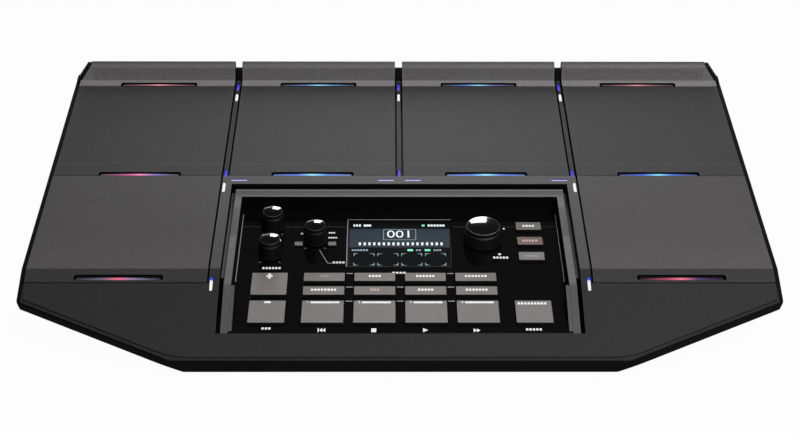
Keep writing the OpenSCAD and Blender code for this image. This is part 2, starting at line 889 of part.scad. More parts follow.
module encoder_body() {
    color("#56606a") on_panel(encoder_at[0], encoder_at[1], board_h) difference() {
        control_body(pot_w + 3);
        translate([0, 0, rotor_floor + rotor_room / 2]) cylinder(r = shaft_r + shaft_fit, h = tall);
        translate([0, 0, rotor_floor]) cylinder(r = rotor_r + 0.2, h = rotor_room);
    }
}

module encoder_rotor() {
    color("#d8d4c8") on_panel(encoder_at[0], encoder_at[1], board_h) {
        translate([0, 0, rotor_floor + 0.2]) difference() {
            cylinder(r = rotor_r, h = rotor_room - 0.4);
            translate([0, 0, -1]) cylinder(r = spindle_r + shaft_fit, h = rotor_room + 2);
        }
    }
}

// A control shaft that stands on the panel at one place, up to a height, with a flat cut on its end
module control_shaft(p, bottom, top) {
    flat = shaft_r * 0.55;
    on_panel(p[0], p[1]) difference() {
        translate([0, 0, bottom]) cylinder(r = shaft_r, h = top - bottom);
        box([flat, -shaft_r, knob_gap + 3], [2 * shaft_r, shaft_r, top + 1]);
    }
}

module pot_shaft(p) {
    color("#c9cbcd") control_shaft(p, board_h + 2.3, knob_h - 2);
}

module encoder_shaft() {
    shoulder = board_h + rotor_floor + rotor_room + dial_travel;
    color("#c9cbcd") {
        control_shaft(encoder_at, shoulder, dial_h - 2);
        on_panel(encoder_at[0], encoder_at[1], shoulder - rotor_room + 0.1)
            cylinder(r = spindle_r, h = rotor_room);
    }
}

// A round knob with a fluted skirt, a plain collar and a domed cap
module knob_form(foot, r, h, flutes) {
    top_r = r * 0.86;
    collar = h - 3;
    rise = 1.1;
    dome_r = (top_r * top_r + rise * rise) / (2 * rise);
    difference() {
        union() {
            rotate_extrude() polygon([
                [0, foot], [r, foot], [r, foot + 1], [r * 0.94, collar], [top_r, collar + 0.6],
                [top_r, h], [0, h]
            ]);
            intersection() {
                translate([0, 0, h + rise - dome_r]) sphere(r = dome_r);
                translate([0, 0, h - 0.5]) cylinder(r = top_r, h = 4);
            }
        }
        translate([0, 0, foot - 1]) cylinder(r = bush_r + 0.5, h = bush_top + 1.8);
        cylinder(r = shaft_r + grip_fit, h = h - 2);
        for (i = [0:flutes - 1]) {
            rotate([0, 0, (i + 0.5) * 360 / flutes]) translate([r + 0.25, 0, foot + 1.4])
                cylinder(r = 0.7, h = collar - foot - 2.4, $fn = 24);
        }
    }
}

module small_knob(p) {
    color("#141415") on_panel(p[0], p[1]) knob_form(knob_gap, knob_r, knob_h, 18);
}

module encoder_knob() {
    color("#141415") on_panel(encoder_at[0], encoder_at[1]) knob_form(dial_gap, dial_r, dial_h, 30);
}

// Buttons

module key(k, tint) {
    color(tint) on_panel(k[0], k[1]) {
        translate([0, 0, key_bottom]) linear_extrude(height = k[4] - key_bottom) slab(k[2], k[3], 0.6);
        translate([0, 0, key_bottom]) linear_extrude(height = key_lip_t)
            slab(k[2] + 2 * key_lip, k[3] + 2 * key_lip, 0.6);
    }
}

key_grey = "#787372";

// Pads

// A notch in a pad's front edge for a light guide, with rounded inner corners, cut straight down
module slot_notch(v) {
    translate([0, v - 1, -tall / 2]) linear_extrude(height = tall) {
        translate([-slot_w / 2, 0]) square([slot_w, slot_d + 1 - slot_r]);
        translate([-slot_w / 2 + slot_r, 0]) square([slot_w - 2 * slot_r, slot_d + 1]);
        for (x = [-1, 1]) {
            translate([x * (slot_w / 2 - slot_r), slot_d + 1 - slot_r]) circle(r = slot_r, $fn = 24);
        }
    }
}

// Left and right edges of a column, counted from 1 on the left
function column_from(i) = i == 1 ? -half_w : i == 2 ? -mid_out : i == 3 ? mid_in : side_in;
function column_to(i) = i == 1 ? -side_in : i == 2 ? -mid_in : i == 3 ? mid_out : half_w;
function column_mid(i) = let (side = (half_w - pad_inset + side_in) / 2 - slot_shift)
    i == 1 ? -side : i == 4 ? side : (column_from(i) + column_to(i)) / 2;

pad_grey = "#4b4b4d";

module bar_pad(i) {
    color(pad_grey) difference() {
        intersection() {
            form(pad_inset, 0, pad_travel);
            on_deck() bar_block(column_from(i), column_to(i), 0);
            on_deck() box([-half_w, bar_v - 1, -pad_t], [half_w, deck_end, tall]);
        }
        difference() {
            on_deck() box([-half_w, bar_v, -tall], [half_w, deck_end, -rim_drop - 0.2]);
            box([-half_w, front_y, 0], [half_w, wall_y - wall - rim_fit - 0.2, tall]);
        }
        on_deck() translate([column_mid(i), 0, 0]) slot_notch(bar_v);
    }
}

module upper_pad(i) {
    color(pad_grey) intersection() {
        form(pad_inset, 0, pad_travel);
        on_deck() difference() {
            across(column_from(i), column_to(i)) {
                polygon([
                    [upper_v, -pad_t], [upper_v, 0], [zone_v, 0], [zone_v + 2 * zone_drop, -zone_drop],
                    [upper_v + upper_l, -zone_drop], [upper_v + upper_l, -pad_t]
                ]);
            }
            translate([column_mid(i), 0, 0]) slot_notch(upper_v);
        }
    }
}

module lower_pad(i) {
    color(pad_grey) difference() {
        intersection() {
            form(pad_inset, 0, pad_travel);
            on_deck() across(column_from(i), column_to(i)) {
                polygon([
                    [lower_v, 0], [0, 0], on_slope(flap_len, 0), on_slope(flap_len, pad_t),
                    on_slope(mitre(pad_t), pad_t), [lower_v, -pad_t]
                ]);
            }
        }
        on_skirt() translate([column_mid(i), -front_slot_at - slot_d / 2, -pad_t * 2])
            linear_extrude(height = tall) slab(slot_w, slot_d, slot_r);
    }
}

module pad_foam() {
    margin = 6;
    deck_back = (wall_y - wall - rim_fit - crease_y) / cos(pad_tilt) - deck_drop * tan(pad_tilt);
    color("#2b2b2d") on_deck() translate([0, 0, -deck_drop]) for (i = [1:4]) {
        outer = half_w - pad_inset - 4;
        from = max(column_from(i), -outer) + margin;
        to = min(column_to(i), outer) - margin;
        box([from, upper_v + slot_d + margin, 0], [to, upper_v + upper_l - margin, foam_t]);
        box([from, bar_v + slot_d + 1, 0], [to, deck_back - 1, foam_t]);
        if (i == 1 || i == 4) {
            box([from, margin, 0], [to, lower_v - margin, foam_t]);
        }
    }
}

module pad_sensors() {
    color("#b89a52") on_deck() for (i = [1:4]) {
        translate([column_mid(i), 0, -deck_drop - deck_t - sensor_t]) {
            translate([0, upper_v + upper_l / 2, 0]) cylinder(r = sensor_r, h = sensor_t);
            translate([0, bar_v - 2, 0]) cylinder(r = bar_sensor_r, h = sensor_t);
            if (i == 1 || i == 4) {
                translate([0, lower_v / 2, 0]) cylinder(r = sensor_r, h = sensor_t);
            }
        }
    }
}

// A clear bar that fills a slot and slopes down towards the back of it
module guide_bar(v, bottom) {
    near = 0.4;
    far = 0.9;
    run = slot_d - 2 * guide_fit;
    half = slot_w / 2 - slot_r;
    across(-half, half) {
        polygon([
            [v + guide_fit, bottom], [v + guide_fit, -near], [v + guide_fit + run, -far],
            [v + guide_fit + run, bottom]
        ]);
    }
}

module light_guides() {
    color("#7f86c8") {
        on_deck() for (i = [1:4]) {
            translate([column_mid(i), 0, 0]) {
                guide_bar(upper_v, -deck_drop);
                guide_bar(bar_v, -deck_drop);
            }
        }
        on_skirt() for (i = [1, 4]) {
            translate([column_mid(i), 0, 0]) guide_bar(-front_slot_at - slot_d, -deck_drop);
        }
        on_deck() window_places() window_block(0);
    }
}

// Electronics and sockets

module main_board() {
    color("#1d6340") {
        box(
            [-board_half, board_front, board_z],
            [board_half, wall_y - wall - rim_fit, board_z + board_t]
        );
        for (x = chip_x) {
            translate([x, board_front + chip_w, board_z + board_t])
                linear_extrude(height = 2) slab(chip_w, chip_w, 1);
        }
    }
}

module phone_jacks() {
    deep = jack_l + 2;
    face = wall_y + 1.4;
    color("#222224") for (i = [0:jack_count - 1]) {
        x = jack_x0 + i * jack_pitch;
        difference() {
            union() {
                box(
                    [x - jack_w / 2, face - deep, jack_z - jack_w / 2],
                    [x + jack_w / 2, wall_y - wall, jack_z + jack_w / 2]
                );
                translate([x, wall_y - wall - 1, jack_z]) rotate([-90, 0, 0])
                    cylinder(r = jack_r + 2.2, h = face - wall_y + wall + 1);
                translate([x, wall_y, jack_z]) rotate([-90, 0, 0])
                    cylinder(r = jack_r + 4, h = face - wall_y);
            }
            translate([x, face - jack_l, jack_z]) rotate([-90, 0, 0]) cylinder(r = jack_r, h = jack_l + 1);
        }
    }
}

module usb_socket() {
    low = board_z + board_t;
    color("#a9adb1") difference() {
        box([usb_x - 6, wall_y - 16, low], [usb_x + 6, wall_y + 0.6, low + 11]);
        box([usb_x - 4.3, wall_y - 10, low + 1.5], [usb_x + 4.3, wall_y + 1, low + 9.5]);
    }
}

module dc_inlet() {
    low = board_z + board_t;
    color("#1e1e20") difference() {
        union() {
            box([inlet_x - 5, wall_y - wall - 10, low], [inlet_x + 5, wall_y - wall, jack_z + 5.5]);
            translate([inlet_x, wall_y - wall - 1, jack_z]) rotate([-90, 0, 0])
                cylinder(r = inlet_r + 1.6, h = wall + 1.5);
        }
        translate([inlet_x, wall_y - 9.5, jack_z]) rotate([-90, 0, 0]) cylinder(r = inlet_r, h = 12);
    }
}

module power_button() {
    stand = power_travel + 0.4;
    color("#1a1a1b") {
        translate([power_x, wall_y - wall - 0.4, jack_z]) rotate([-90, 0, 0])
            linear_extrude(height = wall + 0.4 + stand) slab(power_w, power_d, 1.2);
        translate([power_x, wall_y - wall - 1.4, jack_z]) rotate([-90, 0, 0])
            linear_extrude(height = 1.2) slab(power_w + 2, power_d + 2, 1.2);
    }
}

bottom_case();
top_case();
rubber_feet();
case_screws();
mount_inserts();
panel_bezel();
fascia();
display_window();
display_module();
panel_board();
main_board();
button_switches();
pot_bodies();
encoder_body();
pad_foam();
pad_sensors();
light_guides();
phone_jacks();
usb_socket();
dc_inlet();
power_button();
small_knob(pots[0]);  // volume_knob
pot_shaft(pots[0]);  // volume_shaft
small_knob(pots[1]);  // phones_knob
pot_shaft(pots[1]);  // phones_shaft
small_knob(pots[2]);  // level_knob
pot_shaft(pots[2]);  // level_shaft
encoder_knob();
encoder_shaft();
encoder_rotor();
bar_pad(1);  // bar_pad_1
bar_pad(2);  // bar_pad_2
bar_pad(3);  // bar_pad_3
bar_pad(4);  // bar_pad_4
upper_pad(1);  // upper_pad_1
upper_pad(2);  // upper_pad_2
upper_pad(3);  // upper_pad_3
upper_pad(4);  // upper_pad_4
lower_pad(1);  // lower_pad_left
lower_pad(4);  // lower_pad_right
key(plus_key, key_grey);  // plus_button
key(minus_key, key_grey);  // minus_button
key(mute_key, key_grey);  // mute_button
key(mode_keys[0], key_grey);  // mode_button_1
key(mode_keys[1], key_grey);  // mode_button_2
key(mode_keys[2], key_grey);  // mode_button_3
key(mode_keys[3], key_grey);  // mode_button_4
key(function_keys[0], key_grey);  // function_button_1
key(function_keys[1], key_grey);  // function_button_2
key(function_keys[2], key_grey);  // function_button_3
key(function_keys[3], key_grey);  // function_button_4
key(track_keys[0], key_grey);  // track_button_1
key(track_keys[1], key_grey);  // track_button_2
key(track_keys[2], key_grey);  // track_button_3
key(track_keys[3], key_grey);  // track_button_4
key(small_keys[0], key_grey);  // edit_button
key(small_keys[1], "#7d6a69");  // write_button
key(small_keys[2], key_grey);  // exit_button
key(page_keys[0], key_grey);  // page_button_left
key(page_keys[1], key_grey);  // page_button_right
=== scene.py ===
"""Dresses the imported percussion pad: rubber pads, lit slots, glossy panel, display, knobs and buttons."""
import json
import math

import bmesh
import bpy
from mathutils import Matrix, Quaternion, Vector


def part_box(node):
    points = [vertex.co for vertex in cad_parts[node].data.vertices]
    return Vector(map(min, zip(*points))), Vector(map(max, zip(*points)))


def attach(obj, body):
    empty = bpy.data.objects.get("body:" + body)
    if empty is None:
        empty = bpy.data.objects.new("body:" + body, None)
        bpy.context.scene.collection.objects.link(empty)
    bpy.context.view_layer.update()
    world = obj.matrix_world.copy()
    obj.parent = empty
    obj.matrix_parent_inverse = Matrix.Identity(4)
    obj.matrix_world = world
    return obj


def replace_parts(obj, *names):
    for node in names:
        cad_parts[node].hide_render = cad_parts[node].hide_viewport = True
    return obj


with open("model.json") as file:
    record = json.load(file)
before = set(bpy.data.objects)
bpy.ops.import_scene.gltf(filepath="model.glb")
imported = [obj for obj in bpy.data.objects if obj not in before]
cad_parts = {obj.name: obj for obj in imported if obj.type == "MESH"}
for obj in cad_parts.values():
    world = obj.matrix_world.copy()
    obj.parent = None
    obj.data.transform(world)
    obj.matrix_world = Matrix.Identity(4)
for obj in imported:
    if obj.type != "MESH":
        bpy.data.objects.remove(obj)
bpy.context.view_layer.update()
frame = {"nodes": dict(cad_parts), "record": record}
NODES = frame["nodes"]
BODY_OF = {n: b for b, group in frame["record"]["behaviour"]["bodies"].items() for n in group}
MM = 0.001

# Sizes repeated from the part's source, in millimetres and degrees
CREASE_Y, CREASE_Z = -82.7, 38.5
PAD_TILT, SKIRT_TILT = math.radians(8.3), math.radians(24.3)
PANEL_DROP = 12.8
PANEL_V = -PANEL_DROP / math.tan(SKIRT_TILT - PAD_TILT)
SLOT_W, SLOT_D, SLOT_R = 51.4, 3.9, 1.4
UPPER_V, BAR_V, FRONT_SLOT = 98.6, 210.508, 4.8
RAKE_FOOT, RAKE_TOP = (217.508, 0.0), (221.04, 7.65)
RIB_DROP = 0.9
KEY_H = 1.6
FRONT_Y, FRONT_HALF, SIDE_HALF, SIDE_CORNER = -143.0, 128.5, 220.0, 38.0
BEZEL_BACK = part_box("panel_bezel")[1][1] / MM
KNOB_R, KNOB_H, DIAL_R, DIAL_H = 6.9, 12.4, 11.5, 11.6
KNOBS = {"volume_knob": (-77.2, 104.0), "phones_knob": (-77.2, 75.0), "level_knob": (-50.8, 89.5)}
DIAL = (50.1, 89.5)
COLUMNS = [-162.525, -54.4, 54.4, 162.525]
GROOVES = (-108.8, 0.0, 108.8)
KEY_X = [-44.4, -14.8, 14.8, 44.4]


def plane_point(tilt, u, v, w):
    """A point on a surface that slopes up to the back from the crease: across, along and above it."""
    y = CREASE_Y + v * math.cos(tilt) - w * math.sin(tilt)
    z = CREASE_Z + v * math.sin(tilt) + w * math.cos(tilt)
    return Vector((u, y, z)) * MM


def deck(u, v, w=0.0):
    """A point on the pads' plane."""
    return plane_point(PAD_TILT, u, v, w)


def skirt(u, v, w=0.0):
    """A point on the front slope."""
    return plane_point(SKIRT_TILT, u, v, w)


def panel(x, s, h=0.0):
    """A point on the sunken panel: across, from its front edge and above it."""
    return deck(x, PANEL_V + s, h - PANEL_DROP)


# Colours and shader nodes

def rgb(code, level=1.0):
    """A hex sRGB colour as linear values, dimmed to a level."""
    parts = [int(code[i:i + 2], 16) / 255 for i in (1, 3, 5)]
    return [level * (c / 12.92 if c <= 0.04045 else ((c + 0.055) / 1.055) ** 2.4) for c in parts] + [1.0]


def add(tree, kind, values=None, stops=None, **props):
    """A new node with its properties, socket values and colour stops set; a value that is a socket is linked."""
    node = tree.nodes.new(kind)
    for key, value in props.items():
        setattr(node, key, value)
    for key, value in (values or {}).items():
        if isinstance(value, bpy.types.NodeSocket):
            tree.links.new(value, node.inputs[key])
        else:
            node.inputs[key].default_value = value
    if stops:
        while len(node.color_ramp.elements) < len(stops):
            node.color_ramp.elements.new(0.5)
        for element, (at, colour) in zip(node.color_ramp.elements, stops):
            element.position, element.color = at, colour
    return node


def moulded(name, dark, light, rough, grain, depth, patch=2.4, spread=0.07, ior=1.5, specular=0.5,
            coat=0.0, metal=0.0, glow=0.0, shade=None):
    """Two close tones in soft patches, with a fine grain in roughness and bump. Grain, depth and patch are sizes
    in millimetres. Shade is a list of (Y in millimetres, share) for a tone that changes along the object; it mostly
    carries painted light and shade."""
    mat = bpy.data.materials.new(name)
    mat.use_nodes = True
    tree = mat.node_tree
    bsdf = tree.nodes["Principled BSDF"]
    where = add(tree, "ShaderNodeTexCoord").outputs["Object"]
    cloud = add(tree, "ShaderNodeTexNoise", {"Vector": where, "Scale": 1 / (patch * MM), "Detail": 4.0}).outputs[0]
    fine = add(tree, "ShaderNodeTexNoise", {"Vector": where, "Scale": 1 / (grain * MM), "Detail": 2.0}).outputs[0]
    tone = add(tree, "ShaderNodeValToRGB", {0: cloud}, [(0.3, rgb(dark)), (0.7, rgb(light))]).outputs[0]
    if shade:
        first, last = shade[0][0], shade[-1][0]
        along = add(tree, "ShaderNodeSeparateXYZ", {0: where}).outputs["Y"]
        place = add(tree, "ShaderNodeMapRange", {0: along, 1: first * MM, 2: last * MM}).outputs[0]
        steps = [((y - first) / (last - first), (k, k, k, 1.0)) for y, k in shade]
        share = add(tree, "ShaderNodeValToRGB", {0: place}, steps).outputs[0]
        pair = {0: 1.0, 6: tone, 7: share}
        tone = add(tree, "ShaderNodeMix", pair, data_type="RGBA", blend_type="MULTIPLY").outputs[2]
    tree.links.new(tone, bsdf.inputs["Base Color"])
    low, high = max(rough - spread, 0.02), rough + spread
    tree.links.new(add(tree, "ShaderNodeMapRange", {0: fine, 3: low, 4: high}).outputs[0], bsdf.inputs["Roughness"])
    bump = add(tree, "ShaderNodeBump", {"Strength": 0.5, "Distance": depth * MM, "Height": fine})
    tree.links.new(bump.outputs[0], bsdf.inputs["Normal"])
    bsdf.inputs["Specular IOR Level"].default_value = specular
    bsdf.inputs["Coat Weight"].default_value = coat
    bsdf.inputs["Metallic"].default_value = metal
    if not metal:
        bsdf.inputs["IOR"].default_value = ior
    if glow:
        tree.links.new(tone, bsdf.inputs["Emission Color"])
        bsdf.inputs["Emission Strength"].default_value = glow
    return mat


def lit_acrylic(name):
    """Acrylic lit from below, coloured by the glow attribute of its mesh, with the cloudy look of a diffuser."""
    mat = moulded(name, "#15151a", "#1c1c22", 0.35, 0.3, 0.005, ior=1.49, specular=0.05)
    tree = mat.node_tree
    bsdf = tree.nodes["Principled BSDF"]
    tint = add(tree, "ShaderNodeAttribute", attribute_name="glow").outputs["Color"]
    where = add(tree, "ShaderNodeTexCoord").outputs["Object"]
    cloud = add(tree, "ShaderNodeTexNoise", {"Vector": where, "Scale": 1 / (1.5 * MM)}).outputs[0]
    tree.links.new(tint, bsdf.inputs["Emission Color"])
    power = add(tree, "ShaderNodeMapRange", {0: cloud, 3: 0.9, 4: 1.1}).outputs[0]
    tree.links.new(power, bsdf.inputs["Emission Strength"])
    return mat


# ABS with a spark-eroded grain: a dull black that shows only at its edges. The grain is drawn at 0.4 mm to show.
# The same black is painted shade on the walls and sides of grey parts, and darker in front as painted shade on the lip
M_BLACK_AND_SHADE = moulded("abs_black_and_painted_shade", "#0a0a0b", "#0e0e0f", 0.6, 0.4, 0.03, ior=1.54, specular=0.06,
                 shade=[(-104.0, 0.4), (-98.0, 1.0)])
# ABS on the rim: dark grey in front and nearly black beside the pads, both as painted shade
M_RIM = moulded("abs_rim_textured", "#504f50", "#575657", 0.55, 0.55, 0.05, ior=1.54, specular=0.12,
                shade=[(-83.4, 0.3), (-82.4, 0.05)])
# ABS with a coarser grain: a mid grey round the panel, darker on the ribs, and darker on the front slope as painted
# shade
M_TOP = moulded("abs_grey_textured", "#504f50", "#575657", 0.55, 0.55, 0.05, ior=1.54, specular=0.14,
                shade=[(-83.4, 0.34), (-82.4, 1.0), (14.0, 1.05), (15.5, 0.29), (124.0, 0.29), (128.0, 0.5)])
# Moulded rubber: soft grey with a fine mottle. The bars are the palest; the flaps over the front edge are the
# darkest, as painted shade on the front slope.
# The bars' strip in front of the rake is paler, and their crown darkens towards its back edge as painted shade.
M_BAR = moulded("rubber_bar", "#6c6a6a", "#767474", 0.6, 0.65, 0.07, ior=1.52, specular=0.25,
                shade=[(131.8, 1.6), (132.6, 1.03), (135.6, 0.95), (136.2, 0.8), (137.3, 0.64), (138.0, 0.38),
                       (138.8, 0.15)])
# The upper pads grow paler towards the bars: painted light that evens out the bars' shadow.
M_UPPER = moulded("rubber_upper", "#363536", "#3e3d3e", 0.62, 0.65, 0.07, ior=1.52, specular=0.25,
                  shade=[(95.0, 1.0), (112.0, 1.12), (124.0, 1.3)])
# The lower pads carry painted shade on the flap over the front edge, and painted light that makes them paler towards
# it.
M_LOWER = moulded("rubber_lower", "#4b494a", "#535152", 0.62, 0.65, 0.07, ior=1.52, specular=0.25,
                  shade=[(-83.4, 0.48), (-82.4, 1.18), (-45.0, 1.03), (10.0, 0.95)])
# Painted ABS: satin grey. Paler along the middle of the side arms and on the back bar, palest at its back edge:
# painted light.
M_BEZEL = moulded("abs_frame_satin", "#535252", "#5a5959", 0.45, 0.45, 0.03, ior=1.54, specular=0.3,
                  shade=[(-94.0, 1.0), (-92.0, 1.55), (-46.0, 1.55), (-44.0, 1.0), (-16.0, 1.0), (-13.0, 1.5),
                         (BEZEL_BACK - 2.2, 1.5), (BEZEL_BACK - 1.4, 2.6)])
# Silicone buttons: even grey, slightly soft edges
M_KEY = moulded("silicone_grey", "#7a7574", "#827d7c", 0.55, 0.55, 0.03, ior=1.41, specular=0.35,
                shade=[(-45.0, 1.0), (-35.0, 0.86)])
# The buttons' sides take a darker silicone: painted shade.
M_KEY_SIDE_SHADE = moulded("silicone_side_painted_shade", "#191818", "#1e1d1d", 0.6, 0.55, 0.03, ior=1.41, specular=0.2)
M_KEY_RED = moulded("silicone_rose", "#715f5e", "#796766", 0.55, 0.55, 0.03, ior=1.41, specular=0.35)
# Knob skirt in dull black ABS, its cap in polished ABS, and a pale ring between them as a painted highlight on the
# cap's edge
M_KNOB = moulded("abs_knob_dull", "#0c0c0d", "#121213", 0.5, 0.4, 0.02, ior=1.54, specular=0.2)
M_CAP = moulded("abs_cap_polished", "#050506", "#08080a", 0.1, 1.1, 0.001, spread=0.03, ior=1.54, coat=1.0)
M_EDGE_HIGHLIGHT = moulded("abs_edge_painted_highlight", "#4a494a", "#545354", 0.4, 0.6, 0.01, ior=1.54)
# Foot rubber is dark and matt, steel and brass are bright with a fine grain, board lacquer is green with a half
# gloss, nylon is black with a half gloss, and foam is matt with coarse cells
M_FOOT = moulded("rubber_foot", "#1b1b1c", "#222223", 0.8, 1.1, 0.08, ior=1.52)
M_STEEL = moulded("steel_plain", "#9a9c9f", "#a8aaad", 0.3, 0.65, 0.01, metal=1.0)
M_BRASS = moulded("brass_plain", "#a8843a", "#b89447", 0.32, 0.65, 0.01, metal=1.0)
M_BOARD = moulded("board_lacquer", "#17482f", "#1c5538", 0.45, 1.4, 0.02)
M_NYLON = moulded("nylon_black", "#151516", "#1c1c1d", 0.45, 0.5, 0.02, ior=1.53)
M_FOAM = moulded("foam_open_cell", "#26262a", "#303034", 0.95, 2.0, 0.2)
# Acrylic panel, back-painted black: a dark mirror
M_FASCIA = moulded("acrylic_black_mirror", "#070708", "#0a0a0c", 0.06, 1.1, 0.0005, spread=0.02, ior=1.49)
# Screen-printed ink: flat and opaque, in white, greys and rose
# The white, grey and rose inks also glow a little: painted light.
M_INK = moulded("ink_white", "#d8d8d8", "#e6e6e6", 0.5, 0.65, 0.005, glow=0.3)
# The grey ink also draws a painted highlight and a painted reflection on the panel.
M_GREY_INK_AND_HIGHLIGHT = moulded("ink_grey_and_painted_highlight", "#757577", "#808082", 0.5, 0.65, 0.005, glow=0.12)
M_INK_FAINT = moulded("ink_faint", "#2c2c2e", "#323234", 0.4, 0.65, 0.005)
M_INK_DIM = moulded("ink_dim", "#9a9696", "#a29e9e", 0.5, 0.65, 0.005)
M_INK_ROSE = moulded("ink_rose", "#c8a09c", "#d2aaa6", 0.5, 0.65, 0.005, glow=0.1)
# Display: glass that is a dark mirror, and the even, lit colours of its picture
M_GLASS = moulded("glass_display", "#0a0c10", "#0d1014", 0.1, 3.0, 0.0005, spread=0.02, ior=1.52)
M_LCD_BAND = moulded("lcd_slate", "#1d2831", "#222e38", 0.3, 1.1, 0.001, specular=0.05, glow=0.4)
M_LCD_WHITE = moulded("lcd_white", "#d4dce0", "#e4eaee", 0.3, 1.1, 0.001, specular=0.05, glow=0.5)
M_LCD_PALE = moulded("lcd_pale", "#7d9098", "#8b9fa8", 0.3, 1.1, 0.001, specular=0.05, glow=0.4)
M_LCD_GREEN = moulded("lcd_green", "#63c49f", "#7ad9b6", 0.3, 1.1, 0.001, specular=0.05, glow=0.7)
# Light guides: clear acrylic that glows in the colour of the lamp below
M_LIGHT = lit_acrylic("acrylic_lit")


# Mesh helpers

def finish_mesh(name, mesh, mats, body):
    """Links a mesh as a piece of the object that rides on a body."""
    obj = bpy.data.objects.new(name, mesh)
    bpy.context.scene.collection.objects.link(obj)
    mesh.materials.clear()
    for mat in mats:
        mesh.materials.append(mat)
    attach(obj, body)
    return obj


def plain_mesh(name, points, faces):
    """A mesh from points in metres and faces."""
    mesh = bpy.data.meshes.new(name)
    mesh.from_pydata([tuple(p) for p in points], [], faces)
    mesh.update()
    return mesh


def dress(name, mat, width, segments=2, sharp=26):
    """A copy of a CAD node with softened edges, shown in place of the node."""
    mesh = NODES[name].data.copy()
    shape = bmesh.new()
    shape.from_mesh(mesh)
    bmesh.ops.remove_doubles(shape, verts=shape.verts, dist=2e-6)
    bmesh.ops.dissolve_limit(shape, angle_limit=math.radians(0.5), verts=shape.verts, edges=shape.edges)
    for edge in shape.edges:
        edge.smooth = len(edge.link_faces) == 2 and edge.calc_face_angle() < math.radians(sharp)
    for face in shape.faces:
        face.smooth = True
        face.material_index = 0
    shape.to_mesh(mesh)
    shape.free()
    normals = mesh.attributes.get("custom_normal")
    if normals:
        mesh.attributes.remove(normals)
    obj = finish_mesh(name + "_skin", mesh, [mat], BODY_OF[name])
    if width:
        bevel = obj.modifiers.new("soft_edges", "BEVEL")
        bevel.width = width * MM
        bevel.segments = segments
        bevel.limit_method = "ANGLE"
        bevel.angle_limit = math.radians(sharp)
        bevel.use_clamp_overlap = False
        bevel.harden_normals = True
    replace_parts(obj, name)
    return obj


def two_tone(obj, other, least=0.6):
    """Gives the faces of a piece that don't face upwards another material."""
    obj.data.materials.append(other)
    for face in obj.data.polygons:
        face.material_index = 0 if face.normal.z > least else 1


def paint(name, mat):
    """A CAD node that keeps its own mesh and gets a material."""
    mesh = NODES[name].data
    mesh.materials.clear()
    mesh.materials.append(mat)


def beyond(point, edge):
    """How far a point in metres lies outside an edge line, in millimetres."""
    (nx, ny), (x, y) = edge
    return (point.x / MM - x) * nx + (point.y / MM - y) * ny


# The rim's outer half in front, and its whole width at the sides, gets painted shade as dark as the lip below it, so
# it is cut along these edges

RIM_GREY = 1.6
SLOPE_BACK, SEAM_FOOT, FLAP_X = -83.0 * MM, 18.0 * MM, 106.0 * MM
lean = math.atan2(SIDE_CORNER, SIDE_HALF - FRONT_HALF)
front_edges = [((0.0, -1.0), (0.0, FRONT_Y + RIM_GREY))]
for side in (-1, 1):
    nx, ny = side * math.sin(lean), -math.cos(lean)
    front_edges.append(((nx, ny), (side * FRONT_HALF - RIM_GREY * nx, FRONT_Y - RIM_GREY * ny)))
    front_edges.append(((side, 0.0), (side * (SIDE_HALF - 2 * RIM_GREY), 0.0)))
rim = dress("bottom_case", M_RIM, 0)
shape = bmesh.new()
shape.from_mesh(rim.data)
for (nx, ny), (x, y) in front_edges:
    every = shape.verts[:] + shape.edges[:] + shape.faces[:]
    bmesh.ops.bisect_plane(shape, geom=every, dist=1e-7, plane_co=(x * MM, y * MM, 0), plane_no=(nx, ny, 0))
shape.to_mesh(rim.data)
shape.free()
two_tone(rim, M_BLACK_AND_SHADE)
top = dress("top_case", M_TOP, 0.12)
# Painted shade: the walls and sides of the grey top case take the black.
two_tone(top, M_BLACK_AND_SHADE)
# The walls of the seam in front take the grey of the surfaces beside it, so that the seam stays a fine line
for face in rim.data.polygons:
    # Painted shade: the rim beyond the cut edges takes the black.
    if any(beyond(face.center, edge) > 0 for edge in front_edges):
        face.material_index = 1
    elif face.center.y < SLOPE_BACK and face.normal.y > 0.3 and face.center.z > SEAM_FOOT:
        face.material_index = 0
for face in top.data.polygons:
    flap_seam = face.normal.y > 0.3 and abs(face.center.x) > FLAP_X
    if face.center.y < SLOPE_BACK and (flap_seam or face.normal.y < -0.3 and face.normal.z > -0.5):
        face.material_index = 0
# Painted shade: the frame's walls and sides take the black.
two_tone(dress("panel_bezel", M_BEZEL, 0.14), M_BLACK_AND_SHADE)
dress("fascia", M_FASCIA, 0.12)

# Pads: grey on top and at the seams between the rows; black in the slots and towards the grooves as painted shade

NOTCH_FRONT, NOTCH_BACK = deck(0.0, BAR_V + 1.0).y, 130.5 * MM
UPPER_FRONT = deck(0.0, UPPER_V + 1.0).y
FLAP_FRONT = skirt(0.0, -FRONT_SLOT - SLOT_D - 0.5).y
for i in range(1, 5):
    bar = dress(f"bar_pad_{i}", M_BAR, 0.25)
    bar.data.materials.append(M_BLACK_AND_SHADE)
    for face in bar.data.polygons:
        notch = face.normal.z < 0.6 and NOTCH_FRONT < face.center.y < NOTCH_BACK
        face.material_index = 1 if notch or abs(face.normal.x) > 0.9 else 0
    upper = dress(f"upper_pad_{i}", M_UPPER, 0.2)
    two_tone(upper, M_BLACK_AND_SHADE, 0.5)
    for face in upper.data.polygons:
        if face.normal.y < -0.5 and face.center.y < UPPER_FRONT:
            face.material_index = 0
for side in ("left", "right"):
    lower = dress(f"lower_pad_{side}", M_LOWER, 0.2)
    two_tone(lower, M_BLACK_AND_SHADE, 0.5)
    for face in lower.data.polygons:
        front = face.normal.y < -0.5 and face.center.y < FLAP_FRONT
        if front or face.normal.y > 0.5 and face.center.y > 0.0:
            face.material_index = 0

# Buttons, then the pieces at the back, below and inside

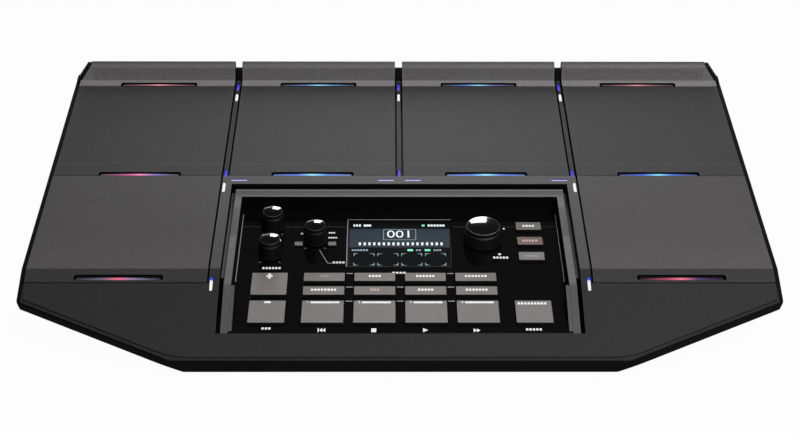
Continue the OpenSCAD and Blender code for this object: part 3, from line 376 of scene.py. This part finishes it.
for key in [n for n in NODES if n.endswith("_button") or "_button_" in n]:
    if key == "power_button":
        dress(key, M_NYLON, 0.3)
    else:
        # The buttons' sides get the darker silicone as painted shade.
        two_tone(dress(key, M_KEY_RED if key == "write_button" else M_KEY, 0.25, 3), M_KEY_SIDE_SHADE)
dress("display_window", M_GLASS, 0.1)
dress("rubber_feet", M_FOOT, 0.4)
dress("phone_jacks", M_NYLON, 0.2)
dress("usb_socket", M_STEEL, 0.15)
dress("dc_inlet", M_NYLON, 0.2)
dress("mount_inserts", M_BRASS, 0.1)
dress("case_screws", M_STEEL, 0.1)
for plain, mat in (
    ("display_module", M_NYLON), ("panel_board", M_BOARD), ("main_board", M_BOARD), ("button_switches", M_NYLON),
    ("pot_bodies", M_NYLON), ("encoder_body", M_NYLON), ("pad_foam", M_FOAM), ("pad_sensors", M_BRASS),
    ("volume_shaft", M_STEEL), ("phones_shaft", M_STEEL), ("level_shaft", M_STEEL), ("encoder_shaft", M_STEEL),
    ("encoder_rotor", M_NYLON),
):
    paint(plain, mat)


# Knobs: dull skirt, polished domed cap, a thin pale ring round the cap as a painted highlight

CAP_SHARE = 0.86


def knob_edge(name, body, x, s, r, height):
    """A thin pale ring round the edge of a knob's cap, as a painted highlight."""
    profile = [(r - 0.2, height - 0.3), (r + 0.06, height - 0.3), (r + 0.06, height - 0.02), (r - 0.2, height + 0.06)]
    steps, points, faces = 72, [], []
    for i in range(steps):
        a = 2 * math.pi * i / steps
        points += [panel(x + q * math.cos(a), s + q * math.sin(a), h) for q, h in profile]
    for i in range(steps):
        j = (i + 1) % steps
        faces += [(4 * i + k, 4 * j + k, 4 * j + (k + 1) % 4, 4 * i + (k + 1) % 4) for k in range(4)]
    mesh = plain_mesh(name + "_edge", points, faces)
    mesh.shade_smooth()
    finish_mesh(name + "_edge", mesh, [M_EDGE_HIGHLIGHT], body)


def dress_knob(name, x, s, r, height):
    """A knob with its cap's material on the faces at its top."""
    obj = dress(name, M_KNOB, 0.12, sharp=30)
    obj.data.materials.append(M_CAP)
    normal = Vector((0, -math.sin(PAD_TILT), math.cos(PAD_TILT)))
    for face in obj.data.polygons:
        above = (face.center / MM - Vector((0, CREASE_Y, CREASE_Z))).dot(normal) + PANEL_DROP
        face.material_index = 1 if above > height - 0.1 and face.normal.dot(normal) > 0.5 else 0
    knob_edge(name, BODY_OF[name], x, s, r * CAP_SHARE, height)


for knob, (x, s) in KNOBS.items():
    dress_knob(knob, x, s, KNOB_R, KNOB_H)
dress_knob("encoder_knob", *DIAL, DIAL_R, DIAL_H)


# Grip on the bars: low bumps in rows, every second row moved by half a step

def knurl_tree():
    """A grid of flattened bumps with named inputs for its sizes."""
    tree = bpy.data.node_groups.new("knurl_rows", "GeometryNodeTree")
    for label, kind in (
        ("Length", "NodeSocketFloat"), ("Height", "NodeSocketFloat"), ("Pitch", "NodeSocketFloat"),
        ("Bump Radius", "NodeSocketFloat"), ("Flatness", "NodeSocketFloat"), ("Finish", "NodeSocketMaterial"),
    ):
        tree.interface.new_socket(label, in_out="INPUT", socket_type=kind)
    tree.interface.new_socket("Geometry", in_out="OUTPUT", socket_type="NodeSocketGeometry")
    size = add(tree, "NodeGroupInput").outputs
    half = add(tree, "ShaderNodeMath", {0: size["Pitch"], 1: 0.5}, operation="MULTIPLY").outputs[0]
    across = add(tree, "ShaderNodeMath", {0: size["Length"], 1: size["Pitch"]}, operation="DIVIDE").outputs[0]
    up = add(tree, "ShaderNodeMath", {0: size["Height"], 1: half}, operation="DIVIDE").outputs[0]
    grid = add(tree, "GeometryNodeMeshGrid", {
        "Size X": size["Length"], "Size Y": size["Height"], "Vertices X": across, "Vertices Y": up,
    }).outputs["Mesh"]
    place = add(tree, "GeometryNodeInputPosition").outputs[0]
    rise = add(tree, "ShaderNodeSeparateXYZ", {0: place}).outputs["Y"]
    row = add(tree, "ShaderNodeMath", {0: rise, 1: half}, operation="DIVIDE").outputs[0]
    row = add(tree, "ShaderNodeMath", {0: row}, operation="FLOOR").outputs[0]
    odd = add(tree, "ShaderNodeMath", {0: row, 1: 2.0}, operation="FLOORED_MODULO").outputs[0]
    shift = add(tree, "ShaderNodeMath", {0: odd, 1: half}, operation="MULTIPLY").outputs[0]
    move = add(tree, "ShaderNodeCombineXYZ", {"X": shift}).outputs[0]
    rows = add(tree, "GeometryNodeSetPosition", {"Geometry": grid, "Offset": move}).outputs[0]
    ball = add(tree, "GeometryNodeMeshUVSphere", {"Segments": 6, "Rings": 4, "Radius": size["Bump Radius"]})
    squeeze = add(tree, "ShaderNodeCombineXYZ", {"X": 1.0, "Y": 1.0, "Z": size["Flatness"]}).outputs[0]
    bumps = add(tree, "GeometryNodeInstanceOnPoints", {
        "Points": rows, "Instance": ball.outputs["Mesh"], "Scale": squeeze,
    }).outputs[0]
    real = add(tree, "GeometryNodeRealizeInstances", {"Geometry": bumps}).outputs[0]
    dressed = add(tree, "GeometryNodeSetMaterial", {"Geometry": real, "Material": size["Finish"]}).outputs[0]
    add(tree, "NodeGroupOutput", {0: dressed})
    return tree


def knurl(name, body, x0, x1, tree):
    """One bar's grip, laid on its front rake."""
    host = bpy.data.objects.new(name + "_source", bpy.data.meshes.new(name + "_source"))
    bpy.context.scene.collection.objects.link(host)
    (v0, w0), (v1, w1) = RAKE_FOOT, RAKE_TOP
    rake = math.hypot(v1 - v0, w1 - w0)
    wanted = {"Length": (x1 - x0) * MM, "Height": (rake - 1.6) * MM, "Pitch": 1.5 * MM, "Bump Radius": 0.55 * MM,
              "Flatness": 0.6, "Finish": M_BAR}
    rows = host.modifiers.new("knurl", "NODES")
    rows.node_group = tree
    for item in tree.interface.items_tree:
        if item.name in wanted:
            rows[item.identifier] = wanted[item.name]
    bpy.context.view_layer.update()
    mesh = bpy.data.meshes.new_from_object(host.evaluated_get(bpy.context.evaluated_depsgraph_get()))
    host.modifiers.remove(rows)
    bpy.data.objects.remove(host)
    turn = Matrix.Rotation(PAD_TILT + math.atan2(w1 - w0, v1 - v0), 4, "X")
    mesh.transform(Matrix.Translation(deck((x0 + x1) / 2, (v0 + v1) / 2, (w0 + w1) / 2)) @ turn)
    mesh.shade_smooth()
    finish_mesh(name, mesh, [M_BAR], body)


OUTER_MARGIN, INNER_MARGIN = 9.5, 1.6
grip = knurl_tree()
for i in range(1, 5):
    low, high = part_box(f"bar_pad_{i}")
    left = low[0] / MM + (OUTER_MARGIN if i == 1 else INNER_MARGIN)
    right = high[0] / MM - (OUTER_MARGIN if i == 4 else INNER_MARGIN)
    knurl(f"bar_grip_{i}", f"bar_pad_{i}", left, right, grip)


# Dark plates that close the grooves between the bars at the back

PLATE_HALF = 2.39
PLATE_SIDE = [(222.4, -6.0), (222.4, 6.5), (222.7, 6.9), (223.4, 6.9), (223.4, -6.0)]
points, faces = [], []
for x in GROOVES:
    low = len(points)
    points += [deck(x + q, v, w) for q in (-PLATE_HALF, PLATE_HALF) for v, w in PLATE_SIDE]
    faces += [tuple(low + i for i in range(5)), tuple(low + 9 - i for i in range(5))]
    faces += [(low + i, low + 5 + i, low + 5 + (i + 1) % 5, low + (i + 1) % 5) for i in range(5)]
finish_mesh("groove_backs", plain_mesh("groove_backs", points, faces), [M_TOP], "case")


# Light bars and windows, all in one mesh with the glow colour at each corner

lit = {"points": [], "faces": [], "colours": []}


def mix(a, b, t):
    """The colour a share t of the way from a to b."""
    return [p + (q - p) * t for p, q in zip(a, b)]


def glow_at(stops, t):
    """The colour along a light, from its start at 0 to its end at 1."""
    for (a, first), (b, second) in zip(stops, stops[1:]):
        if t <= b:
            return mix(first, second, (t - a) / (b - a))
    return stops[-1][1]


def add_faces(points, faces, colours):
    """Adds one light's faces, and a colour for each of their corners, to the mesh of all lights."""
    start = len(lit["points"])
    lit["points"] += points
    for face, tints in zip(faces, colours):
        lit["faces"].append([start + i for i in face])
        lit["colours"] += tints


def light_bar(place, x, v, stops, share):
    """One light bar in its slot: the front share of its top glows, the rest stays dark as painted shade under the
    slot's back edge. The glow is shaped like a lens, deepest in the middle and 0.62 of that at the ends."""
    steps, fit, n = 48, 0.4, 5
    half = SLOT_W / 2 - SLOT_R
    run = SLOT_D - 2 * fit
    dark = [0.0, 0.0, 0.0, 1.0]
    points, faces, colours = [], [], []
    for i in range(steps + 1):
        lens = share * (0.62 + 0.38 * math.sin(math.pi * i / steps))
        profile = [(v + fit, -5.0), (v + fit, -0.4), (v + fit + lens * run, -0.4 - 0.5 * lens),
                   (v + fit + run, -0.95), (v + fit + run, -5.0)]
        points += [place(x - half + 2 * half * i / steps, a, b) for a, b in profile]
    for i in range(steps):
        near, far = glow_at(stops, i / steps), glow_at(stops, (i + 1) / steps)
        for j in range(n):
            k = (j + 1) % n
            faces.append((n * i + j, n * i + k, n * i + n + k, n * i + n + j))
            colours.append([near, near, far, far] if j == 1 else [dark] * 4)
    faces += [tuple(range(n - 1, -1, -1)), tuple(n * steps + j for j in range(n))]
    colours += [[dark] * n, [dark] * n]
    add_faces(points, faces, colours)


def light_window(place, x, v, top, length, across, stops, back=None):
    """One small light window, a thin slab with rounded ends; the glow runs along its length. Its back half may have
    a colour of its own."""
    r, steps, n = (0.9 if across else 0.75), 20, 5
    points, faces, colours = [], [], []
    for i in range(steps + 1):
        b = -length / 2 * math.cos(math.pi * i / steps)
        over = max(abs(b) - (length / 2 - r), 0.0)
        a = math.sqrt(max(r * r - over * over, 0.0)) + 0.02
        row = [(-a, top - 1.2), (-a, top), (0.0, top), (a, top), (a, top - 1.2)]
        points += [place(x - b, v + q, w) if across else place(x - q, v + b, w) for q, w in row]
    for i in range(steps):
        near, far = glow_at(stops, i / steps), glow_at(stops, (i + 1) / steps)
        for j in range(n):
            k = (j + 1) % n
            faces.append((n * i + j, n * i + n + j, n * i + n + k, n * i + k))
            colours.append([back] * 4 if back and j >= 2 else [near, far, far, near])
    faces += [tuple(range(n)), tuple(n * steps + n - 1 - j for j in range(n))]
    colours += [[glow_at(stops, 0.0)] * n, [glow_at(stops, 1.0)] * n]
    add_faces(points, faces, colours)


def even(code):
    """One colour along the whole of a window."""
    return [(0.0, rgb(code, LIT)), (1.0, rgb(code, LIT))]


def bar_glow(flank_left, middle, flank_right, ends):
    """Grey at the ends of a bar, coloured towards its middle, palest in the middle."""
    grey, left, pale, right = (rgb(code) for code in (ends, flank_left, middle, flank_right))
    return [
        (0.0, grey), (0.12, mix(grey, left, 0.3)), (0.32, left), (0.44, mix(left, pale, 0.6)), (0.5, pale),
        (0.56, mix(right, pale, 0.6)), (0.68, right), (0.88, mix(grey, right, 0.3)), (1.0, grey),
    ]


LIT = 0.9
WHITE, PALE_VIOLET, DEEP_BLUE = "#ffffff", "#d8ccff", "#4a52ff"
TOP_GLOW = [
    bar_glow("#a86a78", "#ff9fb0", "#a07078", "#5a5254"), bar_glow("#6a78c0", "#9ae8ff", "#6a98d0", "#565460"),
    bar_glow("#5a80d0", "#9ae8ff", "#7078b0", "#565460"), bar_glow("#a87080", "#f09aa8", "#a07078", "#5a5254"),
]
MID_GLOW = [
    bar_glow("#b8588c", "#ff8cb8", "#9078c0", "#584e58"), bar_glow("#4468e0", "#8eeaff", "#3f80e0", "#3a66b0"),
    bar_glow("#3f74e4", "#8eeaff", "#4470e4", "#3c5cb4"), bar_glow("#4470e4", "#8ce0ff", "#4c74dc", "#4a5080"),
]
FRONT_GLOW = {
    0: bar_glow("#6e6678", "#f46c88", "#8878a0", "#38343a"), 3: bar_glow("#a84860", "#f47c94", "#584070", "#242026"),
}
DEEP_STOPS = [(0.0, rgb("#6c62e4", LIT)), (0.6, rgb("#4a40d0", LIT)), (1.0, rgb("#1c1478", LIT))]
LOW_STOPS = [(0.0, rgb(WHITE, LIT)), (0.62, rgb(WHITE, LIT)), (0.7, rgb(DEEP_BLUE, 0.8)), (1.0, rgb("#3038c8", 0.6))]
DASH_BACK = rgb("#3a30a8", 0.8)
IN_GROOVE, FLUSH = -RIB_DROP - 0.1, -0.1
for i, x in enumerate(COLUMNS):
    light_bar(deck, x, BAR_V, TOP_GLOW[i], 0.7)
    light_bar(deck, x, UPPER_V, MID_GLOW[i], 0.85)
    if i in FRONT_GLOW:
        light_bar(skirt, x, -FRONT_SLOT - SLOT_D, FRONT_GLOW[i], 0.6)
for x in GROOVES:
    light_window(deck, x, BAR_V, IN_GROOVE, 8, False, DEEP_STOPS)
    light_window(deck, x, BAR_V - 14, IN_GROOVE, 8, False, even(WHITE))
    light_window(deck, x, UPPER_V + 3.5, IN_GROOVE, 10, False, DEEP_STOPS)
for side in (-1, 1):
    light_window(deck, side * GROOVES[2], 85.2, FLUSH, 10, False, even(WHITE))
    light_window(deck, side * 99.8, 93.6, FLUSH, 10, True, even(PALE_VIOLET), DASH_BACK)
    light_window(deck, side * 8.4, 93.6, FLUSH, 10, True, even(PALE_VIOLET), DASH_BACK)
    light_window(skirt, side * GROOVES[2], -11.2, FLUSH, 10, False, LOW_STOPS)
light_mesh = plain_mesh("lit_guides", lit["points"], lit["faces"])
glow_layer = light_mesh.color_attributes.new("glow", "FLOAT_COLOR", "CORNER")
for item, colour in zip(glow_layer.data, lit["colours"]):
    item.color = colour
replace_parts(finish_mesh("lit_guides", light_mesh, [M_LIGHT], "case"), "light_guides")


# Printed signs, as thin flat shapes on the panel and on the buttons, and a few pale lines of painted light among them

INK_H = 0.04


def flat(name, shapes, mat, body="case", height=INK_H, slot=None):
    """Flat polygons on the panel, each a list of (across, from the front edge) points."""
    points, faces = [], []
    for shape in shapes:
        faces.append(tuple(range(len(points), len(points) + len(shape))))
        points += [panel(x, s, height) for x, s in shape]
    slot = slot or ("fascia_gloss" if body == "case" else "key_grey")
    return finish_mesh(name, plain_mesh(name, points, faces), [mat], body)


def block(x0, s0, x1, s1):
    """A rectangle between two corners."""
    return [(x0, s0), (x1, s0), (x1, s1), (x0, s1)]


def stroke(points, wide):
    """A line of some width through points, as quads."""
    out = []
    for (x0, s0), (x1, s1) in zip(points, points[1:]):
        length = math.hypot(x1 - x0, s1 - s0)
        nx, ns = -(s1 - s0) / length * wide / 2, (x1 - x0) / length * wide / 2
        out.append([(x0 - nx, s0 - ns), (x1 - nx, s1 - ns), (x1 + nx, s1 + ns), (x0 + nx, s0 + ns)])
    return out


def disc(x, s, r, sides=16):
    """A round dot."""
    turns = [2 * math.pi * i / sides for i in range(sides)]
    return [(x + r * math.cos(a), s + r * math.sin(a)) for a in turns]


def dashes(x, s, count, wide=1.3, tall=2.0, gap=0.6):
    """A row of small upright blocks, as a plain mark."""
    step = wide + gap
    first = x - (count * step - gap) / 2
    return [block(first + i * step, s - tall / 2, first + i * step + wide, s + tall / 2) for i in range(count)]


FONT_PER_NUMERAL = 1.4


def digits(name, text, x, s, size, mat, body, height):
    """Plain numerals laid flat on the panel."""
    curve = bpy.data.curves.new(name, "FONT")
    curve.body = text
    curve.size = size * MM * FONT_PER_NUMERAL
    curve.align_x = "CENTER"
    curve.align_y = "CENTER"
    holder = bpy.data.objects.new(name + "_source", curve)
    bpy.context.scene.collection.objects.link(holder)
    bpy.context.view_layer.update()
    mesh = bpy.data.meshes.new_from_object(holder.evaluated_get(bpy.context.evaluated_depsgraph_get()))
    bpy.data.objects.remove(holder)
    mesh.transform(Matrix.Translation(panel(x, s, height)) @ Matrix.Rotation(PAD_TILT, 4, "X"))
    return finish_mesh(name, mesh, [mat], body)


ON_KEY = KEY_H + INK_H
lines = []
for s in (56.6, 43.2, 29.6):
    lines += [block(x + 12.9, s, x + 16.7, s + 0.7) for x in KEY_X[:3]]
flat("link_lines", lines, M_INK_DIM)
# Painted highlight: pale lines along the display window's top and left edges.
flat("screen_edge_painted_highlight", [block(-31.6, 112.6, 31.6, 113.2), block(-32.0, 63.7, -31.4, 113.2)], M_GREY_INK_AND_HIGHLIGHT)
# Painted reflection: thin pale lines in the glossy panel beside the frame's side arms.
sides = stroke([(-96.3, 48.7), (-96.3, 118.6)], 0.5) + stroke([(96.3, 48.7), (96.3, 118.6)], 0.5)
flat("side_painted_reflections", sides, M_GREY_INK_AND_HIGHLIGHT)
ridge = stroke([(-96.0, 105.2), (-32.4, 105.2)], 0.4) + stroke([(32.4, 105.2), (96.0, 105.2)], 0.4)
flat("cross_lines", ridge, M_INK_FAINT)
flat("callout_line", stroke([(-48.1, 80.65), (-43.0, 67.3), (-32.9, 67.3)], 0.6), M_GREY_INK_AND_HIGHLIGHT)
flat("lamp_dot", [disc(63.7, 103.1, 0.7)], M_INK)
ticks = []
for x, s in KNOBS.values():
    for turn in (-50, 230):
        a = math.radians(turn)
        ends = [(x + q * math.cos(a), s + q * math.sin(a)) for q in (8.4, 9.8)]
        ticks += stroke(ends, 0.5)
flat("knob_ticks", ticks, M_GREY_INK_AND_HIGHLIGHT)
labels = dashes(-76.0, 62.3, 6) + dashes(-75.9, 4.5, 3) + dashes(75.3, 3.6, 5) + dashes(60.2, 73.0, 5)
labels += dashes(-77.2, 90.6, 6) + dashes(-0.6, 57.7, 4, 1.5, 1.6, 0.6) + dashes(-36.4, 67.9, 4)
labels += dashes(-41.2, 98.8, 3, 1.0, 1.4, 0.4) + dashes(-40.6, 93.6, 4, 1.0, 1.4, 0.4)
labels += [[(-60.2, 97.2), (-58.6, 97.2), (-59.4, 99.4)], disc(59.7, 76.4, 1.0)]
flat("panel_labels", labels, M_INK)
# Transport signs below the numbered buttons: back, stop, play, forward
signs = [block(-46.8, 1.2, -46.1, 4.8), [(-46.0, 3.0), (-44.2, 1.2), (-44.2, 4.8)]]
signs += [[(-44.2, 3.0), (-42.4, 1.2), (-42.4, 4.8)], block(-16.5, 1.1, -13.7, 4.6)]
signs += [[(12.7, 1.1), (15.6, 3.0), (12.7, 4.9)]]
signs += [[(41.2, 1.0), (43.1, 2.8), (41.2, 4.6)], [(43.1, 1.0), (45.0, 2.8), (43.1, 4.6)]]
flat("transport_signs", signs, M_INK)

plus = [block(-78.3, 51.5, -74.7, 53.1), block(-77.3, 49.7, -75.7, 51.5), block(-77.3, 53.1, -75.7, 54.9)]
flat("plus_sign", plus, M_INK, "plus_button", ON_KEY)
flat("minus_sign", [block(-78.2, 26.0, -74.4, 27.8)], M_INK, "minus_button", ON_KEY)
MODE_MARKS, FUNCTION_MARKS = (3, 4, 6, 7), (8, 3, 5, 7)
for i, x in enumerate(KEY_X):
    n = i + 1
    digits(f"track_number_{n}", str(n), x - 8.9, 26.9, 2.2, M_INK, f"track_button_{n}", ON_KEY)
    flat(f"track_bar_{n}", [block(x - 7.2, 25.9, x + 9.4, 27.5)], M_INK, f"track_button_{n}", ON_KEY)
    ink = M_INK_DIM if n == 1 else M_INK
    flat(f"mode_mark_{n}", dashes(x, 52.25, MODE_MARKS[i]), ink, f"mode_button_{n}", ON_KEY)
    ink = M_INK_ROSE if n == 2 else M_INK
    flat(f"function_mark_{n}", dashes(x, 38.9, FUNCTION_MARKS[i]), ink, f"function_button_{n}", ON_KEY)
for name, s, count, ink in (("edit", 104.0, 4, M_INK), ("write", 88.3, 5, M_INK_ROSE), ("exit", 72.6, 4, M_INK_DIM)):
    flat(name + "_mark", dashes(78.6, s, count), ink, name + "_button", ON_KEY)
flat("mute_mark", dashes(75.6, 25.7, 9), M_INK, "mute_button", ON_KEY)


# Display picture: a plain number in a box, rows of blocks, the corners of four rings, two lamps

LIFT = 0.03
SCREEN_H = -0.4 + LIFT


def screen(name, shapes, mat, lift=0.0):
    """Flat polygons on the display, lifted over those that they cover."""
    return flat(name, shapes, mat, "case", SCREEN_H + lift, "window_clear")


screen("lcd_band", [block(-30.4, 84.0, 30.4, 103.6)], M_LCD_BAND)
box = [(-9.8, 92.0), (9.8, 92.0), (9.8, 103.0), (-9.8, 103.0), (-9.8, 92.0)]
screen("lcd_box", stroke(box, 0.4), M_LCD_PALE, LIFT)
digits("lcd_number", "001", 0.0, 97.6, 7.6, M_LCD_WHITE, "case", SCREEN_H + LIFT)
screen("lcd_row", dashes(0.6, 87.7, 18, 1.3, 3.0, 1.6), M_LCD_WHITE, LIFT)
screen("lcd_title", dashes(-26.0, 107.2, 3, 1.2, 2.2, 0.5) + [block(-22.0, 106.2, -17.4, 108.2)], M_LCD_WHITE)
screen("lcd_tempo", [block(13.6, 106.2, 15.4, 108.2)], M_LCD_GREEN)
screen("lcd_tempo_row", dashes(22.4, 107.2, 6, 1.3, 2.2, 0.5), M_LCD_WHITE)
screen("lcd_label", dashes(-24.0, 81.2, 6, 1.2, 1.8, 0.5), M_LCD_PALE)
screen("lcd_lamps", [block(4.6, 80.2, 8.0, 82.2), block(15.0, 80.2, 18.4, 82.2)], M_LCD_GREEN)
screen("lcd_lamp_rows", dashes(11.2, 81.2, 2, 1.2, 1.8, 0.5) + dashes(22.6, 81.2, 3, 1.2, 1.8, 0.5), M_LCD_PALE)
BEND = [(0.0, 0.0), (3.2, 0.0), (1.0, 0.6), (0.6, 1.0), (0.0, 3.2)]
RING_STEP = 14.25
corners = []
for i in range(4):
    x0, x1, s0, s1 = -27.6 + RING_STEP * i, -15.2 + RING_STEP * i, 65.7, 77.8
    for x, s, dx, ds in ((x0, s0, 1, 1), (x1, s0, -1, 1), (x1, s1, -1, -1), (x0, s1, 1, -1)):
        bend = [(x + a * dx, s + b * ds) for a, b in BEND]
        corners.append(bend if dx * ds > 0 else bend[::-1])
screen("lcd_corners", corners, M_LCD_PALE)


# Floor, light and camera. The floor keeps a trace of shadow, so its white isn't full.

FLOOR_WHITE = 0.97


def floor_and_world():
    """A pale floor that the camera and reflections see as white, and a dim room that is white only at the back."""
    mesh = plain_mesh("floor", [(-6, -6, 0), (6, -6, 0), (6, 6, 0), (-6, 6, 0)], [(0, 1, 2, 3)])
    floor = bpy.data.objects.new("floor", mesh)
    bpy.context.scene.collection.objects.link(floor)
    mat = moulded("pale_floor", "#a6a6a6", "#aaaaaa", 0.85, 40.0, 0.02, patch=300.0)
    mesh.materials.append(mat)
    tree = mat.node_tree
    path = add(tree, "ShaderNodeLightPath").outputs
    bent = add(tree, "ShaderNodeMath", {0: path["Is Glossy Ray"], 1: path["Is Transmission Ray"]}, operation="MAXIMUM")
    seen = add(tree, "ShaderNodeMath", {0: path["Is Camera Ray"], 1: bent.outputs[0]}, operation="MAXIMUM").outputs[0]
    share = add(tree, "ShaderNodeMath", {0: seen, 1: FLOOR_WHITE}, operation="MULTIPLY").outputs[0]
    white = add(tree, "ShaderNodeEmission", {"Color": rgb("#ffffff"), "Strength": 1.0}).outputs[0]
    plain = tree.nodes["Principled BSDF"].outputs[0]
    both = add(tree, "ShaderNodeMixShader", {0: share, 1: plain, 2: white}).outputs[0]
    tree.links.new(both, tree.nodes["Material Output"].inputs["Surface"])
    world = bpy.data.worlds.new("studio")
    bpy.context.scene.world = world
    world.use_nodes = True
    tree = world.node_tree
    path = add(tree, "ShaderNodeLightPath").outputs
    # Reflections see the white sheet only low down behind the object
    way = add(tree, "ShaderNodeSeparateXYZ", {0: add(tree, "ShaderNodeTexCoord").outputs["Generated"]}).outputs
    behind = add(tree, "ShaderNodeMapRange", {0: way["Y"], 1: 0.86, 2: 0.93}).outputs[0]
    low = add(tree, "ShaderNodeMapRange", {0: way["Z"], 1: 0.4, 2: 0.3}).outputs[0]
    sheet = add(tree, "ShaderNodeMath", {0: behind, 1: low}, operation="MULTIPLY").outputs[0]
    bent = add(tree, "ShaderNodeMath", {0: path["Is Glossy Ray"], 1: path["Is Transmission Ray"]}, operation="MAXIMUM")
    mirror = add(tree, "ShaderNodeMath", {0: bent.outputs[0], 1: sheet}, operation="MULTIPLY").outputs[0]
    seen = add(tree, "ShaderNodeMath", {0: path["Is Camera Ray"], 1: mirror}, operation="MAXIMUM").outputs[0]
    white = add(tree, "ShaderNodeBackground", {"Color": rgb("#ffffff"), "Strength": 1.0}).outputs[0]
    soft = add(tree, "ShaderNodeBackground", {"Color": rgb("#f2f2f4"), "Strength": 0.05}).outputs[0]
    both = add(tree, "ShaderNodeMixShader", {0: seen, 1: soft, 2: white}).outputs[0]
    tree.links.new(both, tree.nodes["World Output"].inputs["Surface"])


def softbox(name, place, aim, width, height, power):
    """A rectangular lamp turned towards a point; sizes in metres, power in watts."""
    data = bpy.data.lights.new(name, "AREA")
    data.shape = "RECTANGLE"
    data.size, data.size_y, data.energy = width, height, power
    lamp = bpy.data.objects.new(name, data)
    bpy.context.scene.collection.objects.link(lamp)
    lamp.location = place
    lamp.rotation_euler = (Vector(aim) - Vector(place)).to_track_quat("-Z", "Y").to_euler()


floor_and_world()
softbox("softbox_key", (0.45, -0.6, 1.2), (0.0, -0.02, 0.05), 0.9, 0.7, 17)
softbox("softbox_back", (0.03, 1.8, 0.93), (0.0, 0.0, 0.05), 0.45, 0.8, 12)

FRAME_W, FOCAL, SENSOR = 800, 1743, 36.0  # pixels, pixels, millimetres
PITCH, YAW, ROLL = math.radians(26.067), math.radians(0.434), math.radians(0.21)
camera_data = bpy.data.cameras.new("camera")
camera_data.sensor_width = SENSOR
camera_data.lens = SENSOR * FOCAL / FRAME_W
camera_data.clip_start, camera_data.clip_end = 0.02, 40
camera = bpy.data.objects.new("camera", camera_data)
bpy.context.scene.collection.objects.link(camera)
camera.location = (-0.0070, -0.97645, 0.50909)
look = Vector((math.sin(YAW) * math.cos(PITCH), math.cos(YAW) * math.cos(PITCH), -math.sin(PITCH)))
aim = look.to_track_quat("-Z", "Y") @ Quaternion((0, 0, 1), ROLL)
camera.rotation_euler = aim.to_euler()
bpy.context.scene.camera = camera
bpy.context.scene.view_settings.view_transform = "Standard"
